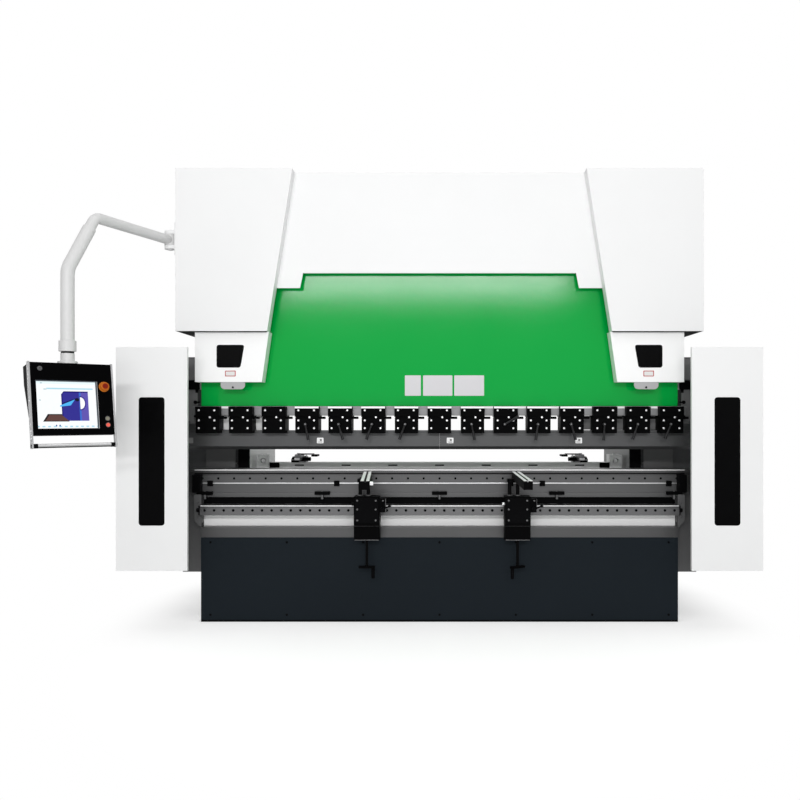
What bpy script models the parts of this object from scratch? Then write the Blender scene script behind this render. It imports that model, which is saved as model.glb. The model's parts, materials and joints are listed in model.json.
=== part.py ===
"""Hydraulic press brake, built as separate parts in their working places.

Metres, +Z up. X runs along the bed, Y runs away from the operator, and the
bend line is at x = y = 0. Every part is modelled in world coordinates and then
given an origin of its own, which lies on the joint axis where a part moves.
"""

import math

import bpy
from mathutils import Matrix, Vector

# Fits
GAP = 0.0003            # between parts that bear on each other
SHEET = 0.003           # thickness of the covers
BORE_PLAY = 0.0005      # radial play of a column, a rod or a screw in its bore
PAST = 0.010            # how far a cutter or a joined piece runs past a face

# Bed and table
HALF_BED = 1.500
BED_FRONT = -0.060
BED_BACK = 0.040
APRON_FRONT = -0.130
APRON_HEIGHT = 0.530
LEDGE_HEIGHT = 0.066
RAIL_DROP = 0.108       # rail's lower edge below the bed's top
RAIL_HEIGHT = 0.063
RAIL_GROOVE = (0.006, 0.012, 0.018)     # depth, and its edges below the rail's top
RAIL_FRONT = -0.160
TABLE_HEIGHT = 0.955
TABLE_THICKNESS = 0.145
TABLE_FRONT = -0.095
TABLE_BACK = 0.085
TABLE_OVERHANG = 0.100  # table past the bed at each end
WEDGE_BAR_HEIGHT = 0.030
TONGUE_SLOT = (0.0135, 0.013)   # width and depth of the die groove
TABLE_LINE = (0.008, 0.019, 0.039)      # depth of the front groove, edges below the top
HOOK_PITCH = 0.740
HOOK_SIZE = (0.095, 0.028, 0.022)
HOOK_STEM = (0.024, 0.012)      # width, and drop below the bar

# Side frames
FRAME_INSET = 0.150     # centre of a side frame inside the end of the bed
FRAME_THICKNESS = 0.080
FRAME_BACK = 1.300
FRAME_CHAMFER = (0.450, 0.350)  # upper rear corner, along Y and down
THROAT_BACK = 0.390
THROAT_CORNER = 0.060
LOWER_ARM_RISE = 0.020  # lower arm above the bed's top
UPPER_ARM_DROP = 0.020  # upper arm below the covers' lower edge
BEAM_THICKNESS = 0.060
BEAM_LIFT = 0.079       # upper beam above the covers' lower edge
REAR_BEAM_INSET = (0.200, 0.100)        # its faces inside the frame's back
REAR_BEAM_Z = (0.200, 0.600)

# Ram and its drive
DAYLIGHT = 0.402        # ram's lower edge above the table, ram at the top
RAM_OVERHANG = 0.020
RAM_FRONT = -0.050
RAM_BACK = 0.030
SHOULDER_HEIGHT = 0.193
RAM_HEIGHT = 0.943
NECK_INSET = 0.220      # neck's edge from the middle of the side frame
CYLINDER_INSET = 0.050  # from the middle of the side frame
CYLINDER_RADIUS = 0.115
CYLINDER_LENGTH = 0.770
CYLINDER_FLANGE = 0.030
CYLINDER_DROP = 0.071   # flange's underside below the covers' lower edge
CYLINDER_CLEARANCE = 0.020      # to the upper arm of the frame
FLANGE_MARGIN = 0.025
PORT = (0.040, 0.060)   # radius and height of the pipe port
TOP_BRACKET = (0.060, 0.110, 0.220, 0.020)      # reach in and out, and drops of its edges
ROD_RADIUS = 0.050
ROD_LENGTH = 0.750
GUIDE_WIDTH = 0.080
GUIDE_DROP = 0.020      # guide's top below the ram's

# Upper tools
CLAMP_PITCH = 0.210
CLAMP_WIDTH = 0.152
CLAMP_FRONT = -0.100
CLAMP_BACK = 0.045
CLAMP_HEIGHT = 0.169
CLAMP_DROP = 0.003      # clamp's top below the ram's lower edge
CLAMP_STUB = (0.038, 0.017, 0.063, 0.060)       # length, height, drop and depth of the wedge's end
TOOL_BAR_HEIGHT = 0.061
TOOL_BAR_OVERHANG = 0.030   # past the end clamps
PUNCH_LENGTH = 0.835
PUNCH_HALF_BODY = 0.026
PUNCH_HALF_TANG = 0.010
PUNCH_TANG = 0.018
PUNCH_BODY = 0.085
PUNCH_HEIGHT = 0.105
PUNCH_HALF_TIP = 0.001
PUNCH_RELIEF = 0.030    # the rear face ends this much higher
PUNCH_OVERHANG = 0.176  # most that the tools may stand past the bed

# Covers
COVER_RISE = 1.476      # covers' top above the ram's lower edge
COVER_HEIGHT = 1.012
COVER_FRONT = -0.200
COVER_BACK = 0.500
COVER_OUT = 0.140       # past the end of the bed
COVER_WIDTH_TOP = 0.727
COVER_WIDTH_BOTTOM = 0.570
PANEL_FRONT = -0.110
PANEL_HEIGHT = 0.637
PANEL_EAR = 0.095       # the panel's ends reach this much lower
PANEL_STEP = (0.052, 0.033)     # top and foot of the step, inside the cover's inner edge
PANEL_OVERLAP = 0.187   # panel behind each cover
SHROUD_FRONT = -0.170
SHROUD_BACK = -0.066
SHROUD_HEIGHT = 0.315
SHROUD_OUT = 0.027      # past the end of the bed
SHROUD_WIDTH_TOP = 0.462
SHROUD_WIDTH_BOTTOM = 0.418

# Side guards
GUARD_FRONT = -0.420
GUARD_WIDTH = 0.425
GUARD_DROP = 0.117      # guard's top below the covers' lower edge
GUARD_HEIGHT = 1.331
GUARD_RETURN = 0.025
GUARD_HINGE_Y = 0.425
WINDOW_SIZE = (0.154, 0.764)
WINDOW_DROP = 0.298     # from the guard's top edge to the window
BRACKET_Y = (0.405, 0.425)
BRACKET_ENDS = (0.127, 0.004)   # inside the guard's lower and upper edges
KNUCKLE_RADIUS = 0.012
KNUCKLE_LENGTH = 0.060
PIN_RADIUS = 0.005
PIN_PLAY = 0.0006

# Sheet supports on the front rail
# Name, x, swivel of the arm and turn of the crank in degrees
SUPPORT_PLACES = (("left", -0.447, 3.7, 0), ("right", 0.480, 0.0, 210))
CARRIAGE_WIDTH = 0.157
CARRIAGE_DEPTH = 0.110
CARRIAGE_REACH = (0.142, 0.128) # below and above the rail's lower edge
CARRIAGE_STEP = (0.052, 0.008)  # its edge below the rail's, and its depth
HOOK_LIP = 0.025
LUG_WIDTH = 0.037
LUG_RISE = (0.032, 0.116)       # above the rail's lower edge
COLUMN_OFFSETS = (-0.045, 0.005)
COLUMN_RADIUS = 0.011
COLUMN_Y = -0.200
ARM_DROP = (0.060, 0.012)       # below the table's top
ARM_WIDTH = 0.050
ARM_GROOVE = (0.010, 0.008)     # width and depth
SADDLE = (0.030, 0.012, 0.004, 0.012)   # half depth, drop, and margins at the two columns
ARM_Y = (-0.880, -0.130)
LIFT_DOWN = 0.030
SCREW_RADIUS = 0.008
SCREW_Y = -0.245
SCREW_REACH = 0.120     # into the carriage
CRANK_DROP = 0.165      # below the carriage
CRANK_BAR = (0.100, 0.024, 0.014)
CRANK_GRIP = (0.010, 0.062, 0.038)  # radius, length and distance from the screw
LEVER_PIVOT = (0.097, 0.053)    # across, and above the rail's lower edge
LEVER_HUB = (0.010, 0.022)      # radius and length
LEVER_STICK = (0.045, 0.020, 0.005)     # across, up and radius
LEVER_KNOB = 0.009

# Back gauge
GAUGE_RAIL_Y = (0.400, 1.050)
GAUGE_RAIL_DROP = (0.135, 0.055)        # below the table's top
GAUGE_RAIL_WIDTH = 0.090
GAUGE_Y = (0.520, 0.640)
GAUGE_BAR_HEIGHT = 0.025
GAUGE_POST = (0.085, 0.120)     # width and height
GAUGE_CLEARANCE = 0.025 # carriage to the side frame
GAUGE_BEAM_HEIGHT = 0.040
FINGER_X = 0.980
FINGER_WIDTH = 0.080
FINGER_BLOCK = 0.040    # height
FINGER_LEVER = (0.020, 0.160, 0.022, 0.062)     # half width, reach, underside and top

# Power pack and cabinet
TANK_DEPTH = 0.430
TANK_DROP = (0.633, 0.213)      # underside and top, below the covers' top
FILLER = (0.600, 0.100, 0.035, 0.050)   # x, distance from the front, radius and height
MOTOR_X = 0.200
MOTOR_RADIUS = 0.085
MOTOR_LENGTH = 0.300
MOTOR_FOOT = (0.100, 0.080, 0.060, 0.020)       # half width, half depth, height, motor above it
PUMP = (0.090, 0.050)   # length and radius
VALVE_X = -0.350
VALVE_SIZE = (0.220, 0.140, 0.120)
CABINET_DEPTH = 0.300   # out from the side frame
CABINET_Y = (0.700, 1.250)
CABINET_Z = (0.500, 1.600)
DOOR_THICKNESS = 0.020

# Control arm and head
ARM_PIVOT_Y = -0.120
ARM_PIVOT_OUT = 0.055   # from the cover's side to the pivot
ARM_DEPTH = 0.433       # level tube below the covers' top
ELBOW_OFFSET = (-0.222, -0.620) # from the pivot
RISER_OFFSET = (-0.308, -0.777)
RISER_DROP = 0.313      # knee below the level tube
ELBOW_RADIUS = 0.060    # of the bends' middle lines
KNEE_RADIUS = 0.120
LEVEL_RADIUS = 0.030
RISER_RADIUS = 0.036
COLLAR_RADIUS = 0.045
COLLAR_HEIGHT = 0.060
HUB_RADIUS = 0.036
HUB_HEIGHT = 0.070
EAR_THICKNESS = 0.022
PIVOT_RADIUS = 0.012
HEAD_YAW = 41
HEAD_PITCH = 10
HEAD_TOP = 1.577
HEAD_NECK = 0.063       # top of the head to the foot of the riser
HEAD_SET_BACK = 0.055   # riser's axis behind the face
HEAD_WIDTH = 0.415
HEAD_HEIGHT = 0.387
HEAD_DEPTH = 0.120
HEAD_TAPER = 0.100      # height of the full depth
HEAD_FOOT = 0.030
HANDLE_RADIUS = 0.0125
HANDLE_DROP = 0.055
HANDLE_RAIL = (0.010, 0.024)    # width and depth of the side rails
STOP_PLACE = (0.1655, -0.126)   # across from the middle, down from the top edge
STOP_RING = (0.028, 0.004)
STOP_CAP = (0.0225, 0.014)
STOP_STEM = 0.009
STOP_TRAVEL = 0.005
BUTTON_PLACES = {"start_button": (0.1746, -0.300), "cycle_stop_button": (0.1755, -0.3355)}
BUTTON_RADIUS = 0.0105
BUTTON_DEPTH = 0.012
BUTTON_RISE = 0.004

# Worked out from the values above
BED_HEIGHT = TABLE_HEIGHT - TABLE_THICKNESS - WEDGE_BAR_HEIGHT
HALF_TABLE = HALF_BED + TABLE_OVERHANG
FRAME_X = HALF_BED - FRAME_INSET
FRAME_IN = FRAME_X - FRAME_THICKNESS / 2
FRAME_OUT = FRAME_X + FRAME_THICKNESS / 2
RAM_BOTTOM = TABLE_HEIGHT + DAYLIGHT
COVER_TOP = RAM_BOTTOM + COVER_RISE
COVER_BOTTOM = COVER_TOP - COVER_HEIGHT
FRAME_TOP = COVER_TOP - SHEET - GAP
LOWER_ARM_TOP = BED_HEIGHT + LOWER_ARM_RISE
RAM_SHOULDER = RAM_BOTTOM + SHOULDER_HEIGHT
RAM_TOP = RAM_BOTTOM + RAM_HEIGHT
RAM_MIDDLE = (RAM_FRONT + RAM_BACK) / 2
RAM_NECK = FRAME_X - NECK_INSET     # half width above the shoulders
UPPER_ARM_FRONT = RAM_MIDDLE + CYLINDER_RADIUS + CYLINDER_CLEARANCE
CYLINDER_X = FRAME_X - CYLINDER_INSET
CYLINDER_BOTTOM = COVER_BOTTOM - CYLINDER_DROP
CYLINDER_TOP = CYLINDER_BOTTOM + CYLINDER_FLANGE + CYLINDER_LENGTH
CLAMP_TOP = RAM_BOTTOM - CLAMP_DROP
CLAMP_BOTTOM = CLAMP_TOP - CLAMP_HEIGHT
CLAMP_COUNT = int(2 * HALF_BED / CLAMP_PITCH) + 1
PUNCH_COUNT = int(2 * (HALF_BED + PUNCH_OVERHANG) / PUNCH_LENGTH)
COVER_X = HALF_BED + COVER_OUT
COVER_IN_TOP = COVER_X - COVER_WIDTH_TOP
COVER_IN_BOTTOM = COVER_X - COVER_WIDTH_BOTTOM
PANEL_HALF = COVER_IN_TOP + PANEL_OVERLAP
PANEL_STEP_HEIGHT = COVER_TOP - PANEL_HEIGHT
PANEL_BOTTOM = PANEL_STEP_HEIGHT - PANEL_EAR
PANEL_STEP_IN = COVER_IN_TOP - PANEL_STEP[0]
PANEL_STEP_OUT = COVER_IN_TOP - PANEL_STEP[1]
SHROUD_X = HALF_BED + SHROUD_OUT
SHROUD_BOTTOM = COVER_BOTTOM - SHROUD_HEIGHT
GUARD_X = HALF_BED + GUARD_WIDTH
GUARD_TOP = COVER_BOTTOM - GUARD_DROP
GUARD_BOTTOM = GUARD_TOP - GUARD_HEIGHT
GUARD_HINGE_X = GUARD_X - KNUCKLE_RADIUS
BRACKET_Z = (GUARD_BOTTOM + BRACKET_ENDS[0], GUARD_TOP - BRACKET_ENDS[1])
RAIL_BOTTOM = BED_HEIGHT - RAIL_DROP
CARRIAGE_Z = (RAIL_BOTTOM - CARRIAGE_REACH[0], RAIL_BOTTOM + CARRIAGE_REACH[1])
LUG_Z = (RAIL_BOTTOM + LUG_RISE[0], RAIL_BOTTOM + LUG_RISE[1])
ARM_Z = (TABLE_HEIGHT - ARM_DROP[0], TABLE_HEIGHT - ARM_DROP[1])
CRANK_Z = CARRIAGE_Z[0] - CRANK_DROP
GAUGE_RAIL_Z = (TABLE_HEIGHT - GAUGE_RAIL_DROP[0], TABLE_HEIGHT - GAUGE_RAIL_DROP[1])
TANK_HALF = HALF_BED / 2
TANK_Z = (COVER_TOP - TANK_DROP[0], COVER_TOP - TANK_DROP[1])
CABINET_X = FRAME_OUT + GAP + CABINET_DEPTH
ARM_HEIGHT = COVER_TOP - ARM_DEPTH
ARM_PIVOT = Vector((-COVER_X - ARM_PIVOT_OUT, ARM_PIVOT_Y, ARM_HEIGHT))
ARM_ELBOW = (ARM_PIVOT.x + ELBOW_OFFSET[0], ARM_PIVOT.y + ELBOW_OFFSET[1])
RISER = (ARM_PIVOT.x + RISER_OFFSET[0], ARM_PIVOT.y + RISER_OFFSET[1])
RISER_TOP = ARM_HEIGHT - RISER_DROP
RISER_BOTTOM = HEAD_TOP + HEAD_NECK
SIDES = {"left": -1, "right": 1}

# Colour, roughness, metallic
FINISHES = {
    "white_paint": ((0.86, 0.87, 0.87), 0.42, 0.0),
    "green_paint": ((0.0, 0.38, 0.056), 0.30, 0.0),
    "anthracite_paint": ((0.018, 0.023, 0.027), 0.45, 0.0),
    "grey_steel": ((0.12, 0.12, 0.12), 0.40, 0.9),
    "bright_steel": ((0.55, 0.55, 0.56), 0.28, 1.0),
    "frame_paint": ((0.055, 0.056, 0.058), 0.50, 0.1),
    "black_oxide": ((0.012, 0.012, 0.012), 0.38, 0.6),
    "black_plastic": ((0.010, 0.010, 0.011), 0.35, 0.0),
    "window_plastic": ((0.008, 0.008, 0.009), 0.25, 0.0),
    "silver_aluminium": ((0.62, 0.62, 0.63), 0.30, 1.0),
    "stop_red": ((0.60, 0.020, 0.012), 0.35, 0.0),
    "button_grey": ((0.35, 0.35, 0.33), 0.40, 0.0),
    "button_red": ((0.80, 0.08, 0.06), 0.30, 0.0),
    "motor_blue": ((0.06, 0.10, 0.16), 0.45, 0.1),
}


def clear_scene():
    for old in list(bpy.data.objects):
        bpy.data.objects.remove(old, do_unlink=True)


def new_collection(name):
    group = bpy.data.collections.new(name)
    bpy.context.scene.collection.children.link(group)
    return group


def finish_of(name, finish):
    colour, roughness, metallic = FINISHES[finish]
    made = bpy.data.materials.new(name + "_finish")
    made.use_nodes = True
    shader = made.node_tree.nodes["Principled BSDF"]
    shader.inputs["Base Color"].default_value = (*colour, 1)
    shader.inputs["Roughness"].default_value = roughness
    shader.inputs["Metallic"].default_value = metallic
    made.diffuse_color = (*colour, 1)
    return made


# Raw shapes, in world coordinates

def mesh_object(name, source):
    """Turns a curve or a primitive into a welded mesh object at the origin."""
    bpy.context.view_layer.update()
    graph = bpy.context.evaluated_depsgraph_get()
    mesh = bpy.data.meshes.new_from_object(source.evaluated_get(graph))
    mesh.transform(source.matrix_world)
    made = bpy.data.objects.new(name, mesh)
    bpy.data.objects.remove(source, do_unlink=True)
    weld = made.modifiers.new("weld", "WELD")
    weld.merge_threshold = 0.00001
    shapes.objects.link(made)
    return made


def box(low, high, name="box"):
    low, high = Vector(low), Vector(high)
    bpy.ops.mesh.primitive_cube_add(size=1, location=(low + high) / 2)
    cube = bpy.context.object
    cube.scale = high - low
    return mesh_object(name, cube)


def rod(start, end, radius, sides=20, name="rod"):
    """A cylinder from one point to the other."""
    start, end = Vector(start), Vector(end)
    bpy.ops.mesh.primitive_cylinder_add(
        vertices=sides, radius=radius, depth=(end - start).length, location=(start + end) / 2
    )
    cylinder = bpy.context.object
    cylinder.rotation_euler = (end - start).to_track_quat("Z", "Y").to_euler()
    return mesh_object(name, cylinder)


def ball(centre, radius, name="ball"):
    bpy.ops.mesh.primitive_uv_sphere_add(segments=12, ring_count=8, radius=radius, location=centre)
    return mesh_object(name, bpy.context.object)


PLANES = {
    "XY": Matrix.Identity(3),
    "XZ": Matrix(((1, 0, 0), (0, 0, -1), (0, 1, 0))),
    "YZ": Matrix(((0, 0, 1), (1, 0, 0), (0, 1, 0))),
}


def outline(points, low, high, plane, name="outline"):
    """A flat outline in the named plane, filled from low to high along the third axis."""
    curve = bpy.data.curves.new(name, "CURVE")
    curve.dimensions = "2D"
    curve.fill_mode = "BOTH"
    curve.extrude = (high - low) / 2
    spline = curve.splines.new("POLY")
    spline.points.add(len(points) - 1)
    for point, (across, up) in zip(spline.points, points):
        point.co = (across, up, 0, 1)
    spline.use_cyclic_u = True
    drawn = bpy.data.objects.new(name, curve)
    bpy.context.scene.collection.objects.link(drawn)
    turn = PLANES[plane]
    # The third axis of the XZ plane points at -Y.
    middle = (low + high) / 2 * (-1 if plane == "XZ" else 1)
    drawn.matrix_world = Matrix.Translation(turn @ Vector((0, 0, middle))) @ turn.to_4x4()
    return mesh_object(name, drawn)


def tube(points, radius, name="tube", resolution=6):
    curve = bpy.data.curves.new(name, "CURVE")
    curve.dimensions = "3D"
    curve.bevel_depth = radius
    curve.bevel_resolution = resolution
    curve.use_fill_caps = True
    spline = curve.splines.new("POLY")
    spline.points.add(len(points) - 1)
    for point, place in zip(spline.points, points):
        point.co = (*place, 1)
    drawn = bpy.data.objects.new(name, curve)
    bpy.context.scene.collection.objects.link(drawn)
    return mesh_object(name, drawn)


def rounded(points, radius, steps=5):
    """The points with each inner corner replaced by an arc of the given radius."""
    points = [Vector(p) for p in points]
    path = [points[0]]
    for before, corner, after in zip(points, points[1:], points[2:]):
        back = (before - corner).normalized()
        ahead = (after - corner).normalized()
        half = back.angle(ahead) / 2
        reach = radius / math.tan(half)
        centre = corner + (back + ahead).normalized() * radius / math.sin(half)
        first = (corner + back * reach - centre).normalized()
        last = (corner + ahead * reach - centre).normalized()
        for step in range(steps + 1):
            path.append(centre + first.slerp(last, step / steps) * radius)
    path.append(points[-1])
    return path


def boolean(target, tools, operation):
    for tool in tools:
        change = target.modifiers.new(operation.lower(), "BOOLEAN")
        change.operation = operation
        change.solver = "EXACT"
        change.object = tool
        shapes.objects.unlink(tool)
        cutters.objects.link(tool)
        tool.hide_render = True
        tool.display_type = "WIRE"
    return target


def join(target, *tools):
    return boolean(target, tools, "UNION")


def cut(target, *tools):
    return boolean(target, tools, "DIFFERENCE")


def finish(shape, name, paint, holder=None, origin=None):
    """Names the shape as a part, paints it, and puts its origin in its middle or on its joint."""
    corners = [Vector(corner) for corner in shape.bound_box]
    middle = sum(corners, Vector()) / len(corners)
    place = Vector(origin) if origin is not None else middle
    shape.data.transform(Matrix.Translation(-place))
    shape.location = place
    shape.name = name
    shape.data.name = name
    shape.data.materials.clear()
    shape.data.materials.append(finish_of(name, paint))
    shape.data.shade_smooth()
    shape.data.set_sharp_from_angle(angle=math.radians(35))
    shapes.objects.unlink(shape)
    parts.objects.link(shape)
    if holder is not None:
        shape.parent = holder
        shape.matrix_parent_inverse = Matrix.Translation(-holder.location)
    return shape


def axis_empty(name, place, parent=None):
    """Marks a joint: what moves with it is parented to it."""
    empty = bpy.data.objects.new(name, None)
    empty.empty_display_size = 0.1
    empty.location = place
    parts.objects.link(empty)
    if parent is not None:
        empty.parent = parent
        empty.matrix_parent_inverse = Matrix.Translation(-parent.location)
    return empty


def sided(points, side):
    """The outline for the right side, or its mirror image for the left."""
    return [(x * side, other) for x, other in points]


def sided_box(side, near, far, y, z):
    """A box between two distances from the middle of the machine."""
    x = sorted((near * side, far * side))
    return box((x[0], y[0], z[0]), (x[1], y[1], z[1]))


# Bed

def bed():
    beam = box((-HALF_BED, BED_FRONT, 0), (HALF_BED, BED_BACK, BED_HEIGHT))
    finish(beam, "bed_beam", "white_paint", machine)

    face = BED_FRONT - GAP
    apron = box((-HALF_BED, APRON_FRONT, 0), (HALF_BED, face, APRON_HEIGHT))
    finish(apron, "apron_panel", "anthracite_paint", machine)

    low = APRON_HEIGHT + GAP
    ledge = box((-HALF_BED, APRON_FRONT, low), (HALF_BED, face, APRON_HEIGHT + LEDGE_HEIGHT))
    finish(ledge, "bed_ledge", "grey_steel", machine)

    rail_top = RAIL_BOTTOM + RAIL_HEIGHT
    rail = box((-HALF_BED, RAIL_FRONT, RAIL_BOTTOM), (HALF_BED, face, rail_top))
    groove_depth, groove_top, groove_foot = RAIL_GROOVE
    groove = box(
        (-HALF_BED - PAST, RAIL_FRONT - PAST, rail_top - groove_foot),
        (HALF_BED + PAST, RAIL_FRONT + groove_depth, rail_top - groove_top),
    )
    finish(cut(rail, groove), "support_rail", "bright_steel", machine)


def table():
    low = BED_HEIGHT + GAP
    high = BED_HEIGHT + WEDGE_BAR_HEIGHT
    bar = box((-HALF_BED, TABLE_FRONT, low), (HALF_BED, BED_BACK, high))
    width, reach, height = HOOK_SIZE
    stem_width, stem_drop = HOOK_STEM
    overlap = 0.004
    hooks = []
    for place in range(-2, 3):
        x = place * HOOK_PITCH
        front = TABLE_FRONT - reach
        top = high - overlap
        head = box((x - width / 2, front, top - height), (x + width / 2, TABLE_FRONT + PAST, top))
        stem = box(
            (x - stem_width / 2, front, low - stem_drop),
            (x + stem_width / 2, TABLE_FRONT - overlap, top - height + overlap),
        )
        hooks += [head, stem]
    finish(join(bar, *hooks), "wedge_bar", "grey_steel", machine)

    slot_width, slot_depth = TONGUE_SLOT
    line_depth, line_top, line_foot = TABLE_LINE
    top = box((-HALF_TABLE, TABLE_FRONT, high + GAP), (HALF_TABLE, TABLE_BACK, TABLE_HEIGHT))
    slot = box(
        (-HALF_TABLE - PAST, -slot_width / 2, TABLE_HEIGHT - slot_depth),
        (HALF_TABLE + PAST, slot_width / 2, TABLE_HEIGHT + PAST),
    )
    line = box(
        (-HALF_TABLE - PAST, TABLE_FRONT - PAST, TABLE_HEIGHT - line_foot),
        (HALF_TABLE + PAST, TABLE_FRONT + line_depth, TABLE_HEIGHT - line_top),
    )
    finish(cut(top, slot, line), "table", "grey_steel", machine)


# Frames and beams

def side_frame(label, side):
    along, down = FRAME_CHAMFER
    upper_arm = COVER_BOTTOM - UPPER_ARM_DROP
    profile = [
        (BED_BACK + GAP, 0),
        (FRAME_BACK, 0),
        (FRAME_BACK, FRAME_TOP - down),
        (FRAME_BACK - along, FRAME_TOP),
        (UPPER_ARM_FRONT, FRAME_TOP),
        (UPPER_ARM_FRONT, upper_arm),
        (THROAT_BACK - THROAT_CORNER, upper_arm),
        (THROAT_BACK, upper_arm - THROAT_CORNER),
        (THROAT_BACK, LOWER_ARM_TOP + THROAT_CORNER),
        (THROAT_BACK - THROAT_CORNER, LOWER_ARM_TOP),
        (BED_BACK + GAP, LOWER_ARM_TOP),
    ]
    low, high = sorted((FRAME_IN * side, FRAME_OUT * side))
    plate = outline(profile, low, high, "YZ")
    finish(plate, label + "_side_frame", "frame_paint", machine)


def cross_beams():
    reach = FRAME_IN - GAP
    top = FRAME_TOP - SHEET - GAP
    upper = box(
        (-reach, UPPER_ARM_FRONT, COVER_BOTTOM + BEAM_LIFT),
        (reach, UPPER_ARM_FRONT + BEAM_THICKNESS, top),
    )
    finish(upper, "upper_cross_beam", "frame_paint", machine)
    front, back = (FRAME_BACK - inset for inset in REAR_BEAM_INSET)
    rear = box((-reach, front, REAR_BEAM_Z[0]), (reach, back, REAR_BEAM_Z[1]))
    finish(rear, "rear_tie_beam", "frame_paint", machine)


def ram_guide(label, side):
    y = (RAM_BACK + GAP, UPPER_ARM_FRONT - GAP)
    z = (COVER_BOTTOM, RAM_TOP - GUIDE_DROP)
    bar = sided_box(side, RAM_NECK - GUIDE_WIDTH, RAM_NECK, y, z)
    finish(bar, label + "_ram_guide", "bright_steel", machine)


def hydraulic_cylinder(label, side):
    x = CYLINDER_X * side
    low = CYLINDER_BOTTOM
    overlap = 0.01
    wall = 0.04
    barrel = rod(
        (x, RAM_MIDDLE, low + overlap / 2), (x, RAM_MIDDLE, CYLINDER_TOP), CYLINDER_RADIUS, 32
    )
    edge = CYLINDER_RADIUS + FLANGE_MARGIN
    flange = box(
        (x - edge, SHROUD_FRONT + SHEET + GAP, low),
        (x + edge, RAM_MIDDLE + CYLINDER_RADIUS - 0.005, low + CYLINDER_FLANGE),
    )
    inward, outward, foot_drop, top_drop = TOP_BRACKET
    bracket = sided_box(
        side,
        CYLINDER_X - inward,
        CYLINDER_X + outward,
        (RAM_MIDDLE + CYLINDER_RADIUS / 2, UPPER_ARM_FRONT - GAP),
        (CYLINDER_TOP - foot_drop, CYLINDER_TOP - top_drop),
    )
    port_radius, port_height = PORT
    port = rod(
        (x, RAM_MIDDLE, CYLINDER_TOP - overlap),
        (x, RAM_MIDDLE, CYLINDER_TOP + port_height),
        port_radius,
        16,
    )
    bore = rod(
        (x, RAM_MIDDLE, low - overlap), (x, RAM_MIDDLE, CYLINDER_TOP - wall), ROD_RADIUS + BORE_PLAY, 32
    )
    cut(join(barrel, flange, bracket, port), bore)
    finish(barrel, label + "_cylinder", "frame_paint", machine)


# Ram and upper tools

def ram():
    half = HALF_BED + RAM_OVERHANG
    profile = [
        (-half, RAM_BOTTOM),
        (half, RAM_BOTTOM),
        (half, RAM_SHOULDER),
        (RAM_NECK, RAM_SHOULDER),
        (RAM_NECK, RAM_TOP),
        (-RAM_NECK, RAM_TOP),
        (-RAM_NECK, RAM_SHOULDER),
        (-half, RAM_SHOULDER),
    ]
    plate = outline(profile, RAM_FRONT, RAM_BACK, "XZ")
    finish(plate, "ram", "green_paint", ram_axis)
    for label, side in SIDES.items():
        x = CYLINDER_X * side
        low = RAM_SHOULDER + GAP
        piston = rod((x, RAM_MIDDLE, low), (x, RAM_MIDDLE, low + ROD_LENGTH), ROD_RADIUS, 32)
        finish(piston, label + "_piston_rod", "bright_steel", ram_axis)


def clamp_row():
    last = (CLAMP_COUNT - 1) / 2 * CLAMP_PITCH
    half = last + CLAMP_WIDTH / 2 + TOOL_BAR_OVERHANG
    top = RAM_BOTTOM - GAP
    bar = box((-half, RAM_FRONT + 0.005, RAM_BOTTOM - TOOL_BAR_HEIGHT), (half, RAM_BACK - 0.005, top))
    stub_length, stub_height, stub_drop, stub_depth = CLAMP_STUB
    stub_top = CLAMP_TOP - stub_drop
    pieces = []
    for number in range(CLAMP_COUNT):
        x = number * CLAMP_PITCH - last
        left, right = x - CLAMP_WIDTH / 2, x + CLAMP_WIDTH / 2
        pieces.append(box((left, CLAMP_FRONT, CLAMP_BOTTOM), (right, CLAMP_BACK, CLAMP_TOP)))
        pieces.append(
            box(
                (right - PAST, CLAMP_FRONT + PAST, stub_top - stub_height),
                (right + stub_length, CLAMP_FRONT + stub_depth, stub_top),
            )
        )
    slot_half = PUNCH_HALF_TANG + GAP
    slot = box(
        (-half - PAST, -slot_half, CLAMP_BOTTOM - PAST),
        (half + PAST, slot_half, CLAMP_BOTTOM + PUNCH_TANG + GAP),
    )
    finish(cut(join(bar, *pieces), slot), "clamp_row", "black_oxide", ram_axis)


def punches():
    shoulder = CLAMP_BOTTOM - GAP
    tip = shoulder - PUNCH_HEIGHT
    body, tang = PUNCH_HALF_BODY, PUNCH_HALF_TANG
    profile = [
        (-tang, shoulder + PUNCH_TANG),
        (tang, shoulder + PUNCH_TANG),
        (tang, shoulder),
        (body, shoulder),
        (body, shoulder - PUNCH_BODY + PUNCH_RELIEF),
        (PUNCH_HALF_TIP, tip),
        (-PUNCH_HALF_TIP, tip),
        (-body, shoulder - PUNCH_BODY),
        (-body, shoulder),
        (-tang, shoulder),
    ]
    for number in range(PUNCH_COUNT):
        left = (number - PUNCH_COUNT / 2) * PUNCH_LENGTH
        piece = outline(profile, left + GAP / 2, left + PUNCH_LENGTH - GAP / 2, "YZ")
        finish(piece, f"punch_{number + 1}", "grey_steel", ram_axis)


# Covers

def top_panel():
    top = FRAME_TOP
    profile = [
        (-PANEL_HALF, top),
        (-PANEL_HALF, PANEL_BOTTOM),
        (-PANEL_STEP_OUT, PANEL_BOTTOM),
        (-PANEL_STEP_IN, PANEL_STEP_HEIGHT),
        (PANEL_STEP_IN, PANEL_STEP_HEIGHT),
        (PANEL_STEP_OUT, PANEL_BOTTOM),
        (PANEL_HALF, PANEL_BOTTOM),
        (PANEL_HALF, top),
    ]
    panel = outline(profile, PANEL_FRONT, PANEL_FRONT + SHEET, "XZ")
    roof = box(
        (-PANEL_HALF, PANEL_FRONT + SHEET / 2, top - SHEET),
        (PANEL_HALF, UPPER_ARM_FRONT + BEAM_THICKNESS, top),
    )
    finish(join(panel, roof), "top_panel", "white_paint", machine)


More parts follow.
